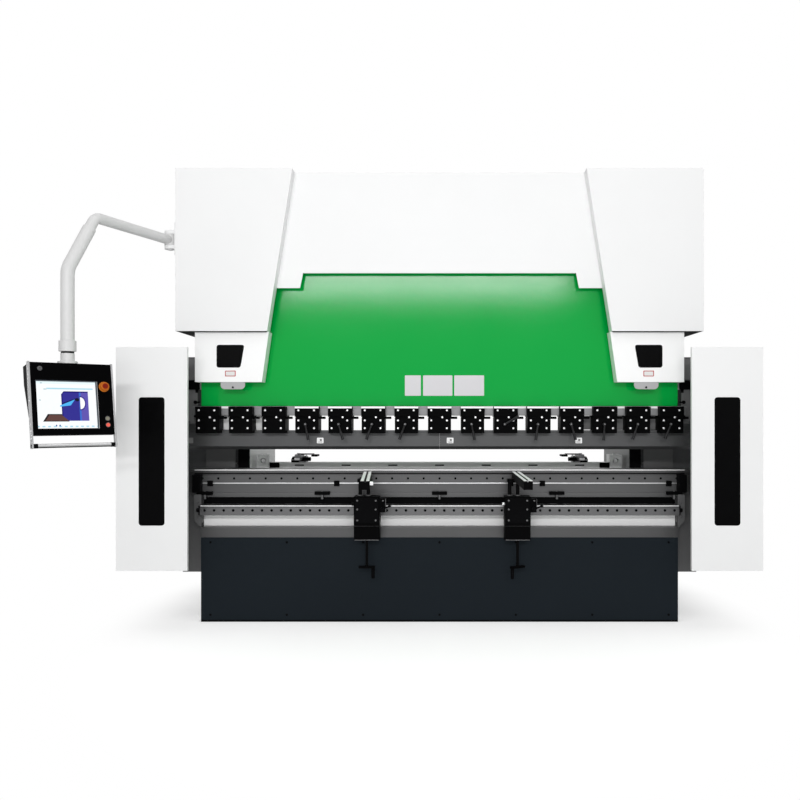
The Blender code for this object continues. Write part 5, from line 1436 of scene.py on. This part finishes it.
def makeFinger(label, side):
    # a stop finger: a block with a slide on it, its stepped nose and a round knob
    x = gaugeSizes["finger"] * side
    node = label + "_gauge_finger"
    front, top = gaugeSizes["beamY"][0] - 0.01, gaugeSizes["beamZ"][1]
    block = startCube((x - 0.04, front, top + 0.0003), (x + 0.04, 0.62, top + 0.04))
    shape(block, "edges", lambda m, d: m.z > top + 0.039 and m.y < front + 0.001,
          bevelled(0.012))
    groove = startCube((x - 0.021, front - 0.01, top + 0.021), (x + 0.021, 0.565, top + 0.05))
    block = softEdges(cutWith(block, groove), 0.001)
    lever = startCube((x - 0.02, 0.37, top + 0.022), (x + 0.02, 0.57, top + 0.062))
    shape(lever, "edges", lambda m, d: m.z > top + 0.061 and m.y < 0.371,
          bevelled(0.02))
    step = startCube((x - 0.03, 0.36, top + 0.04), (x + 0.03, 0.395, top + 0.08))
    slot = startCube((x - 0.006, 0.43, top + 0.05), (x + 0.006, 0.55, top + 0.08))
    lever = softEdges(cutWith(lever, step, slot), 0.001)
    dress(node + "_block", [block, lever], fingerSteel, label + "_finger", node)
    dark = [capScrew((x + dx, y, (top + 0.039, top + 0.045)), 0.006)
            for dx in (-0.03, 0.03) for y in (front + 0.018, 0.6)]
    dark += [capScrew((x + dx, (front + 0.001, front - 0.0045), top + 0.012), 0.0055)
             for dx in (-0.03, 0.03)]
    dress(node + "_screws", dark, blackOxide, label + "_finger")
    nose = softCube((x - 0.018, 0.3665, top + 0.0235), (x + 0.018, 0.372, top + 0.039), 0.0006)
    knob = softEdges(startRod((x, 0.445, (top + 0.06, top + 0.07)), 0.012, 24), 0.0015)
    dress(node + "_nose", [nose, knob], brightSteel, label + "_finger")


unitSizes = {"x": (0.873, 1.043), "y": (0.5, 0.625), "z": (0.9672, 1.015)}


def makeFingerUnit(label, side):
    # the finger's black drive unit: a motor housing, a deck and a hinged nose
    body = label + "_finger"
    low, high = unitSizes["z"]
    front, back = unitSizes["y"]
    x0, x1 = unitSizes["x"]
    house = sideCube(side, x0 + 0.118, x1, front, back, low, high - 0.012)
    shape(house, "edges", lambda m, d: m.z > high - 0.013 and abs(m.x) > x1 - 0.001,
          bevelled(0.016, 2))
    deck = sideCube(side, x0 - 0.012, x0 + 0.03, front + 0.01, back, low + 0.04, high + 0.005)
    nose = sideCube(side, x0 + 0.004, x1 - 0.062, front - 0.075, front - 0.012, low + 0.058,
                    high + 0.0165)
    blocks = [softEdges(part, 0.002) for part in (house, deck, nose)]
    for step in range(3):
        x = x0 + 0.128 + 0.014 * step
        rib = sideCube(side, x, x + 0.006, front - 0.003, back - 0.01, low + 0.004, high - 0.008)
        blocks.append(softEdges(rib, 0.0012))
    motor = startRod((((x0 + 0.12) * side, (x0 + 0.03) * side), front - 0.006, high - 0.024), 0.014, 28)
    blocks.append(softEdges(motor, 0.002))
    dress(body + "_unit", blocks, blackOxide, body)
    pin = startRod(((x0 + 0.05) * side, (front - 0.076, front - 0.082), high + 0.006), 0.006, 20)
    cap = capScrew(((x1 - 0.012) * side, (front + 0.002, front - 0.003), high - 0.03), 0.005)
    shield = sideCube(side, x0 + 0.124, x1 - 0.016, front + 0.006, back - 0.006, high - 0.0125,
                      high - 0.0105)
    bright = [softEdges(pin, 0.0008), cap, shield]
    dress(body + "_unit_bright", bright, aluminium, body)


def makeGaugeDrives():
    # bearings at the ends of the rails, and a strip and screws on their inner faces
    low, high = gaugeSizes["railX"]
    front, back = gaugeSizes["railY"]
    bearings, strips = [], []
    for side in (-1, 1):
        middle = side * (low + high) / 2
        for y in (front + 0.004, back - 0.028):
            bearings.append(softCube((middle - 0.04, y, 0.838), (middle + 0.04, y + 0.024, 0.894), 0.002))
        x0, x1 = side * (low + 0.006), side * (low - 0.002)
        strips.append(softCube((x0, front + 0.03, 0.85), (x1, back - 0.03, 0.862), 0.0008))
        for y in (0.45, 0.6, 0.75, 0.9):
            strips.append(capScrew(((side * (low - 0.0015), side * (low - 0.006)), y, 0.88), 0.006))
    dress("gauge_rail_bearings", bearings, blackOxide)
    dress("gauge_rail_strips", strips, screwSteel)


postSteel = metal("postSteel", "bright_steel", (0.86, 0.86, 0.865), 0.42, wear=0.08, metallic=0.2)
beamSilverAndPaintedLight = metal("beamSilverAndPaintedLight", "silver_aluminium", (0.965, 0.965, 0.968), 0.45, wear=0.03, metallic=0.05)
fingerSteel = metal("fingerSteel", "grey_steel", (0.2, 0.2, 0.205), 0.36, brush=(1, 30, 1), metallic=0.9)
makeGauge()
for label, side in sides.items():
    makeFinger(label, side)
    makeFingerUnit(label, side)
makeGaugeDrives()
print("back gauge dressed")


# Cylinders, power pack and cabinet

cylinderSizes = {"x": 1.3, "y": -0.01, "radius": 0.115, "low": 1.75, "top": 2.55, "rod": 0.05,
                 "flange": (0.14, -0.1667, 0.1, 0.03), "rodZ": (1.5503, 2.3), "port": (0.04, 2.61)}
tankSizes = {"half": 0.75, "y": (0.1853, 0.6153), "z": (2.2, 2.62), "filler": (0.6, 0.2853, 0.035, 0.05),
             "screwXs": (-0.7, -0.42, -0.14, 0.14, 0.42, 0.7), "glass": (-0.55, 2.4), "drain": (-0.66, 2.235),
             "hatchX": (0.1, 0.6), "hatchZ": (2.26, 2.56), "boltXs": (0.12, 0.28, 0.42, 0.58),
             "boltZs": (2.28, 2.54)}
motorSizes = {"x": 0.2, "y": 0.4003, "z": 2.7253, "radius": 0.085, "half": 0.15, "base": 2.6203}
valveSizes = {"x": -0.35, "y": 0.4003, "low": 2.6203, "size": (0.22, 0.14, 0.12)}
pipeSizes = {"y": 0.32, "z": 2.652, "bend": 0.022, "radius": 0.009}
cabinetSizes = {"x": (1.3903, 1.6903), "y": (0.7, 1.25), "z": (0.5, 1.6), "door": 1.7106,
                "handleZ": (1.0, 1.14), "switch": (0.96, 1.42), "lamps": (0.9, 1.34), "glandY": 0.98}


def ringOfScrews(centre, axis, radius, count, head, rise, turn=0.0):
    # screw heads set round a circle; axis is the way they look
    axis = Vector(axis).normalized()
    across = axis.orthogonal().normalized()
    made = []
    for step in range(count):
        spoke = Matrix.Rotation(math.tau * (step + turn) / count, 3, axis) @ across
        spot = Vector(centre) + spoke * radius
        made.append(capScrew(tuple(zip(spot - axis * 0.001, spot + axis * rise)), head))
    return made


def makeCylinder(label, side):
    x, y = cylinderSizes["x"] * side, cylinderSizes["y"]
    low, top, radius = cylinderSizes["low"], cylinderSizes["top"], cylinderSizes["radius"]
    node = label + "_cylinder"
    barrel = startRod((x, y, (low + 0.005, top)), radius, 72)
    grooves = []
    for z in (low + 0.1, top - 0.06):
        outer = startRod((x, y, (z, z + 0.006)), radius + 0.02, 72)
        inner = startRod((x, y, (z - 0.01, z + 0.02)), radius - 0.003, 72)
        grooves.append(cutWith(outer, inner))
    bore = startRod((x, y, (low - 0.01, top - 0.04)), cylinderSizes["rod"] + 0.0005, 48)
    barrel = softEdges(cutWith(barrel, *grooves, bore), 0.002)
    edge, front, back, thick = cylinderSizes["flange"]
    flange = startCube((x - edge, front, low), (x + edge, back, low + thick))
    shape(flange, "edges", lambda m, d: abs(d.z) > 0.01,
          bevelled(0.018, 5))
    bore = startRod((x, y, (low - 0.01, low + 0.06)), cylinderSizes["rod"] + 0.0005, 48)
    flange = softEdges(cutWith(flange, bore), 0.002)
    source = softenedCopy(node, "source", 0.0)
    # only the CAD shape's rear bracket is kept, cut out of its copy
    keep = startCube((x - 0.3, y + radius * 0.62, top - 0.5), (x + 0.3, y + 0.5, top + 0.01))
    addModifier(source, "BOOLEAN", operation="INTERSECT", solver="EXACT", object=keep)
    bpy.data.objects.remove(keep, do_unlink=True)
    portRadius, portTop = cylinderSizes["port"]
    port = softEdges(startRod((x, y, (top - 0.01, portTop)), portRadius, 36), 0.002)
    dress(node + "_barrel", [barrel, flange, softEdges(source, 0.0015), port], cylinderGrey,
          "press_frame", node)
    screws = ringOfScrews((x, y, top), (0, 0, 1), radius - 0.018, 8, 0.009, 0.009, 0.5)
    screws += [capScrew((x + dx, sy, (low + thick - 0.001, low + thick + 0.012)), 0.012)
               for dx in (-0.118, 0.118) for sy in (front + 0.024, back - 0.024)]
    dress(node + "_screws", screws, blackOxide)
    seal = softEdges(cutWith(startRod((x, y, (low - 0.006, low + 0.002)), 0.07, 48),
                             startRod((x, y, (low - 0.02, low + 0.02)), 0.0507, 48)), 0.001)
    dress(node + "_seal", [seal], blackPlastic)
    start, end = cylinderSizes["rodZ"]
    rodPiece = startRod((x, y, (start, end)), cylinderSizes["rod"], 72)
    dress("rod", [softEdges(rodPiece, 0.0015)], turnedSteel, "ram_group", label + "_piston_rod")


def makeTank():
    half = tankSizes["half"]
    front, back = tankSizes["y"]
    low, high = tankSizes["z"]
    body = softCube((-half, front, low), (half, back, high), 0.004, 3)
    fx, fy, radius, rise = tankSizes["filler"]
    neck = softEdges(startRod((fx, fy, (high - 0.01, high + 0.022)), radius - 0.004, 36), 0.001)
    dress("tank_body", [body, neck], framePaint, "press_frame", "oil_tank")
    cap = startRod((fx, fy, (high + 0.02, high + rise)), radius, 24)
    shape(cap, "polygons", lambda c, n: abs(n.z) < 0.5 and round(c.x * 1e5 + c.y * 1e5) % 2 == 0,
          (bpy.ops.mesh.inset, {"thickness": 0.001, "depth": -0.001, "use_individual": True}))
    dress("cap", [softEdges(cap, 0.0008)], blackPlastic)
    screws = [capScrew((x, y, (high - 0.001, high + 0.006)), 0.007)
              for x in tankSizes["screwXs"] for y in (front + 0.022, back - 0.022)]
    # sight glass, drain plug and the hatch on the rear face
    x, z = tankSizes["glass"]
    glass = softEdges(startRod((x, (back - 0.002, back + 0.01), z), 0.028, 36), 0.002)
    drainX, drainZ = tankSizes["drain"]
    drain = capScrew((drainX, (back - 0.002, back + 0.014), drainZ), 0.016, 6)
    dress("tank_screws", [drain, *screws], screwSteel)
    dress("tank_glass", [glass], glassAmber)
    ring = cutWith(startRod((x, (back - 0.001, back + 0.012), z), 0.034, 36),
                   startRod((x, (back - 0.02, back + 0.03), z), 0.0282, 36))
    (x0, x1), (z0, z1) = tankSizes["hatchX"], tankSizes["hatchZ"]
    hatch = softCube((x0, back - 0.001, z0), (x1, back + 0.006, z1), 0.002)
    bolts = [capScrew((x, (back + 0.005, back + 0.0115), z), 0.006)
             for x in tankSizes["boltXs"] for z in tankSizes["boltZs"]]
    dress("tank_hatch", [softEdges(ring, 0.001), hatch], plateGrey)
    dress("hatch_bolts", bolts, screwSteel)


def makeMotor():
    x, y, z, radius, half, base = (motorSizes[k] for k in ("x", "y", "z", "radius", "half", "base"))
    core = startRod(((x - half + 0.012, x + half - 0.075), y, z), radius - 0.012, 60)
    fins = []
    for step in range(30):
        angle = math.tau * step / 30
        if math.sin(angle) < -0.8:
            continue
        fin = startCube((x - half + 0.018, y - 0.0016, z + radius - 0.016),
                        (x + half - 0.08, y + 0.0016, z + radius))
        turn = Matrix.Rotation(angle - math.pi / 2, 4, "X")
        fin.matrix_world = Matrix.Translation((x, y, z)) @ turn @ Matrix.Translation((-x, -y, -z))
        fins.append(settle(fin))
    plateEnd = softEdges(startRod(((x - half, x - half + 0.016), y, z), radius - 0.002, 60), 0.002)
    cowl = startRod(((x + half - 0.08, x + half), y, z), radius - 0.001, 60)
    slots = []
    for ring in (0.03, 0.05, 0.068):
        outer = startRod(((x + half - 0.004, x + half + 0.01), y, z), ring, 48)
        inner = startRod(((x + half - 0.02, x + half + 0.02), y, z), ring - 0.008, 48)
        slots.append(cutWith(outer, inner))
    cowl = softEdges(cutWith(cowl, *slots), 0.0015)
    foot = softCube((x - 0.1, y - 0.08, base), (x + 0.1, y + 0.08, base + 0.014), 0.002)
    webs = [softCube((x + dx - 0.008, y - 0.055, base + 0.01), (x + dx + 0.008, y + 0.055, base + 0.06),
                     0.002) for dx in (-0.07, 0.0, 0.03)]
    body = joinUp("motor_body", smooth(core), plateEnd, cowl, foot, *fins, *webs)
    finishPiece(body, motorBlue, "press_frame", "pump_motor")
    end = x - half
    pump = softEdges(startRod(((end - 0.09, end + 0.004), y, z), 0.05, 48), 0.003, 3)
    bell = softEdges(startRod(((end - 0.034, end + 0.002), y, z), 0.062, 48, 0.078), 0.002)
    dress("pump_body", [pump, bell], cylinderGrey)
    screws = ringOfScrews((end - 0.09, y, z), (-1, 0, 0), 0.036, 6, 0.006, 0.005)
    screws += [capScrew((x + dx, y + dy, (base + 0.013, base + 0.021)), 0.008)
               for dx in (-0.085, 0.085) for dy in (-0.066, 0.066)]
    dress("motor_screws", screws, blackOxide)
    box = softCube((x - 0.05, y + radius - 0.02, z - 0.035), (x + 0.05, y + radius + 0.03, z + 0.035),
                   0.003, 3)
    dress("terminal_box", [box], motorBlue)


def makeValves():
    x, y, low = valveSizes["x"], valveSizes["y"], valveSizes["low"]
    width, depth, rise = valveSizes["size"]
    manifold = softCube((x - width / 2, y - depth / 2, low), (x + width / 2, y + depth / 2, low + 0.062),
                        0.003)
    valves = [softCube((x + dx - 0.022, y - 0.034, low + 0.06), (x + dx + 0.022, y + 0.034, low + 0.108),
                       0.002) for dx in (-0.07, 0.0, 0.07)]
    dress("valve_manifold", [manifold, *valves], brightSteel, "press_frame", "valve_block")
    coils, nuts = [], []
    for dx in (-0.07, 0.0, 0.07):
        for turn in (-1, 1):
            y0, y1 = y + turn * 0.033, y + turn * 0.068
            coils.append(softCube((x + dx - 0.019, y0, low + 0.064), (x + dx + 0.019, y1, low + 0.104),
                                  0.003, 3))
            nuts.append(startRod((x + dx, (y + turn * 0.067, y + turn * 0.0695), low + 0.084), 0.009, 6))
        coils.append(softCube((x + dx - 0.012, y - 0.014, low + 0.107),
                              (x + dx + 0.012, y + 0.014, low + rise), 0.0015))
    dress("valve_coils", coils, blackPlastic)
    dress("valve_nuts", nuts, screwSteel)


def makePipes():
    # steel pipes from the valve block to the ports of the cylinders
    y, z = pipeSizes["y"], pipeSizes["z"]
    pipes, fittings = [], []
    for side in (-1, 1):
        x, cy = cylinderSizes["x"] * side, cylinderSizes["y"]
        top = cylinderSizes["port"][1] + 0.045
        startX = valveSizes["x"] + side * 0.125
        route = bentPath(((startX - side * 0.02, y + 0.06, z), (startX + side * 0.05, y + 0.06, z),
                          (startX + side * 0.05, y - 0.02, z), (x - side * 0.1, y - 0.02, z),
                          (x, cy + 0.1, top), (x, cy, top), (x, cy, cylinderSizes["port"][1] - 0.005)),
                         pipeSizes["bend"], 8)
        pipes.append(startPipe(route, pipeSizes["radius"], 5))
        fittings.append(softEdges(startRod((x, cy, (2.602, 2.628)), 0.018, 6), 0.001))
        fittings.append(softEdges(startRod(((startX - side * 0.018, startX + side * 0.012), y + 0.06, z),
                                           0.016, 6), 0.001))
    dress("pressure_pipes", pipes, turnedSteel)
    dress("pipe_fittings", fittings, screwSteel)


def makeCabinet():
    x0, x1 = cabinetSizes["x"]
    y0, y1 = cabinetSizes["y"]
    z0, z1 = cabinetSizes["z"]
    dressNode("electrical_cabinet", "cabinet_body", whitePaint, 0.0025)
    dressNode("cabinet_door", "cabinet_leaf", whitePaint, 0.0015)
    # on the door: pressed fields, vents, a swing handle, a turning switch and lamps
    face = cabinetSizes["door"]
    field = [softCube((face - 0.001, y0 + 0.035, low), (face + 0.0016, y1 - 0.08, high), 0.0012)
             for low, high in ((z0 + 0.06, z0 + 0.36), (z0 + 0.42, z1 - 0.1))]
    dress("door_fields", field, whitePaint, "door")
    slats = [softCube((face + 0.001, y0 + 0.1, z0 + 0.11 + 0.022 * row),
                      (face + 0.0052, y1 - 0.16, z0 + 0.12 + 0.022 * row), 0.001) for row in range(9)]
    dress("door_slats", slats, plateGrey, "door")
    low, high = cabinetSizes["handleZ"]
    handle = [softCube((face - 0.001, y0 + 0.016, low), (face + 0.007, y0 + 0.04, high), 0.003, 3),
              softCube((face + 0.006, y0 + 0.021, low + 0.012), (face + 0.0135, y0 + 0.035, high - 0.028),
                       0.003, 3)]
    y, z = cabinetSizes["switch"]
    switch = [softEdges(startRod(((face - 0.001, face + 0.006), y, z), 0.03, 36), 0.0015),
              softCube((face + 0.005, y - 0.008, z - 0.025), (face + 0.0138, y + 0.008, z + 0.025), 0.003, 3)]
    dress("door_handle", [*handle, *switch], blackPlastic, "door")
    y, z = cabinetSizes["lamps"]
    caps = [softCube((face - 0.001, y + 0.03 * n, z), (face + 0.004, y + 0.018 + 0.03 * n, z + 0.018),
                     0.001) for n in range(3)]
    dress("door_lamps", caps, labelWhite, "door")
    fan = startCube((x0 + 0.06, y0 - 0.006, z1 - 0.26), (x1 - 0.06, y0 + 0.001, z1 - 0.08))
    shape(fan, "polygons", lambda c, n: n.y < -0.9,
          inset(0.012, -0.003))
    slats = [softCube((x0 + 0.075, y0 - 0.0055, z1 - 0.245 + 0.019 * row),
                      (x1 - 0.075, y0 - 0.002, z1 - 0.236 + 0.019 * row), 0.001) for row in range(8)]
    y = cabinetSizes["glandY"]
    glands = [softEdges(startRod((x0 + 0.08 + 0.05 * n, y, (z0 - 0.016, z0 + 0.002)), 0.014, 6), 0.001)
              for n in range(4)]
    dress("cabinet_fan", [softEdges(fan, 0.001), *slats, *glands], plateGrey)


frameSizes = {"beamXs": (-1.15, -0.9, 0.9, 1.15), "beamY": (0.1845, 0.1935), "beamZs": (2.0, 2.12),
              "wallX": (1.3895, 1.3985), "wallYs": (0.22, 0.5, 0.8, 1.1), "wallZs": (0.2, 0.45)}


def makeFrameDetails():
    # screws along the upper cross beam and on the side frames' outer faces
    screws = [capScrew((x, frameSizes["beamY"], z), 0.012)
              for x in frameSizes["beamXs"] for z in frameSizes["beamZs"]]
    x0, x1 = frameSizes["wallX"]
    screws += [capScrew(((side * x0, side * x1), y, z), 0.012)
               for side in (-1, 1) for y in frameSizes["wallYs"] for z in frameSizes["wallZs"]]
    dress("frame_screws", screws, screwSteel)


throatSizes = {"wall": 1.3096, "y": (0.398, 1.285), "z": (0.915, 1.78), "edgeX": (1.312, 1.388),
               "edgeY": 0.3895, "shieldX": (1.398, 1.6), "shieldY": 0.352, "shelf": (1.3895, 1.43, 0.43)}


def makeThroatSheets():
    # cladding inside the side frames, white on the left to paint light over the shade and grey on the right,
    # a black strip on the throat's back edge that paints its shade, and a shield beside it
    wall, (y0, y1), (z0, z1) = (throatSizes[name] for name in ("wall", "y", "z"))
    strips, shields = [], []
    for (label, side), finish in zip(sides.items(), (whiteAndPaintedLight, claddingShadedGrey)):
        x0, x1 = side * wall, side * (wall - 0.0014)
        sheet = softCube((x0, y0, z0), (x1, y1, z1), 0.0004)
        screws = [capScrew(((side * wall, side * (wall - 0.0035)), y, z), 0.007)
                  for y in (y0 + 0.03, y1 - 0.03) for z in (z0 + 0.03, z1 - 0.03)]
        dress(label + "_throat_sheet", [sheet, *screws], finish)
        x0, x1 = (side * x for x in throatSizes["edgeX"])
        strips.append(softCube((x0, throatSizes["edgeY"] - 0.002, z0),
                               (x1, throatSizes["edgeY"] + 0.001, z1), 0.0008))
        x0, x1 = (side * x for x in throatSizes["shieldX"])
        y = throatSizes["shieldY"]
        shields.append(softCube((x0, y, z0), (x1, y + 0.003, z1), 0.0008))
        x0, x1, back = throatSizes["shelf"]
        for z in (z0 + 0.05, z1 - 0.056):
            shields.append(softEdges(sideCube(side, x0, x1, y + 0.002, back, z, z + 0.006), 0.0008))
    dress("throat_shields", shields, plateGrey)
    dress("throat_painted_shade_strips", strips, blackPlastic)


# a grey copy of the cladding for the right side, against the white one on the left
claddingShadedGrey = paint("claddingShadedGrey", "frame_paint", (0.34, 0.34, 0.345), 0.5)
cylinderGrey = paint("cylinderGrey", "frame_paint", (0.085, 0.088, 0.092), 0.42, patch=0.08,
                     specularIorLevel=0.4)
glassAmber = moulded("glassAmber", "button_red", (0.45, 0.25, 0.05), 0.15, specularIorLevel=0.5)
for label, side in sides.items():
    makeCylinder(label, side)
makeTank()
makeMotor()
makeValves()
makePipes()
makeCabinet()
makeFrameDetails()
makeThroatSheets()
print("cylinders, power pack and cabinet dressed")


# Stage, lamps and camera

stageSizes = {"floor": 60.0, "floorTone": 0.93, "ambient": 0.4, "lift": 0.41, "fadeStart": 1.55,
              "fadeEnd": 2.15, "depthShare": 0.78}


def floorFinish():
    # pale floor that carries the shadow and clears to plain white away from the machine
    finish = Finish("paleFloor", "white_paint", roughness=0.9, specularIorLevel=0.0)
    tone = stageSizes["floorTone"]
    cloud = finish.noise(1.5, 3)
    finish.set("baseColor", finish.mix(cloud, tint((1, 1, 1), tone - 0.01), tint((1, 1, 1), tone)))
    tree = finish.tree
    glow, plain = (tree.nodes.new("ShaderNodeEmission") for _ in range(2))
    both, blend = tree.nodes.new("ShaderNodeAddShader"), tree.nodes.new("ShaderNodeMixShader")
    seen = Wire(finish, tree.nodes.new("ShaderNodeLightPath").outputs["Is Camera Ray"])
    finish.feed(glow.inputs["Strength"], seen * stageSizes["lift"])
    tree.links.new(finish.shader.outputs[0], both.inputs[0])
    tree.links.new(glow.outputs[0], both.inputs[1])
    x, y, _ = finish.axes(finish.add("ShaderNodeTexCoord", {}, [], "Object"))
    y = y * stageSizes["depthShare"]
    away = finish.math("SQRT", x * x + y * y)
    fade = finish.add("ShaderNodeMapRange", {"interpolation_type": "SMOOTHSTEP"},
                      {"Value": away, "From Min": stageSizes["fadeStart"],
                       "From Max": stageSizes["fadeEnd"]})
    finish.feed(blend.inputs[0], fade * seen)
    tree.links.new(both.outputs[0], blend.inputs[1])
    tree.links.new(plain.outputs[0], blend.inputs[2])
    plain.inputs["Strength"].default_value = 1.0
    tree.links.new(blend.outputs[0], tree.nodes["Material Output"].inputs["Surface"])
    return finish.material


bpy.ops.mesh.primitive_plane_add(size=stageSizes["floor"], location=(0, 0, -0.0006))
floor = settle(bpy.context.object, "studioFloor")
floor.data.materials.append(floorFinish())

world = bpy.data.worlds.new("studioWorld")
bpy.context.scene.world = world
world.use_nodes = True
sky = world.node_tree
path = sky.nodes.new("ShaderNodeLightPath")
background = sky.nodes["Background"]
background.inputs["Color"].default_value = (1, 1, 1, 1)
joined = None
for ray in ("Is Camera Ray", "Is Glossy Ray", "Is Transmission Ray"):
    if joined is None:
        joined = path.outputs[ray]
        continue
    greater = sky.nodes.new("ShaderNodeMath")
    greater.operation = "MAXIMUM"
    sky.links.new(joined, greater.inputs[0])
    sky.links.new(path.outputs[ray], greater.inputs[1])
    joined = greater.outputs[0]
strength = sky.nodes.new("ShaderNodeMapRange")
strength.inputs["To Min"].default_value = stageSizes["ambient"]
strength.inputs["To Max"].default_value = 1.0
sky.links.new(joined, strength.inputs["Value"])
sky.links.new(strength.outputs[0], background.inputs["Strength"])

lampSizes = {
    "frontSoftbox": {"at": (-0.35, -9.3, 3.66), "look": (-0.35, 0, 3.4), "size": (5.1, 0.46), "watts": 275},
    "topSoftbox": {"at": (0.0, -1.5, 6.5), "look": (0, 0, 1.2), "size": (6.0, 4.0), "watts": 80},
    "sideSoftbox": {"at": (6.5, -4.0, 3.2), "look": (0, 0, 1.4), "size": (3.0, 3.0), "watts": 15},
    "lowFill": {"at": (0.0, -7.0, 0.9), "look": (0, 0, 0.9), "size": (5.0, 1.0), "watts": 76,
                "gloss": False},
}
for lampName, sizes in lampSizes.items():
    bpy.ops.object.light_add(type="AREA", location=sizes["at"])
    lamp = bpy.context.object
    lamp.name = lampName
    lamp.data.shape = "RECTANGLE"
    lamp.data.size, lamp.data.size_y = sizes["size"]
    lamp.data.energy = sizes["watts"]
    lamp.visible_glossy = sizes.get("gloss", True)
    aim = Vector(sizes["look"]) - Vector(sizes["at"])
    lamp.rotation_euler = aim.to_track_quat("-Z", "Y").to_euler()

cameraSizes = {"at": (0.0, -5.474, 1.3), "lens": 38.25, "shift": (-0.0494, 0.0188)}
bpy.ops.object.camera_add(location=cameraSizes["at"], rotation=(math.radians(90), 0, 0))
camera = bpy.context.object
camera.name = "studioCamera"
camera.data.lens = cameraSizes["lens"]
camera.data.shift_x, camera.data.shift_y = cameraSizes["shift"]
camera.data.clip_end = 200
bpy.context.scene.camera = camera
bpy.context.scene.view_settings.view_transform = "Standard"
print("stage, lamps and camera set")
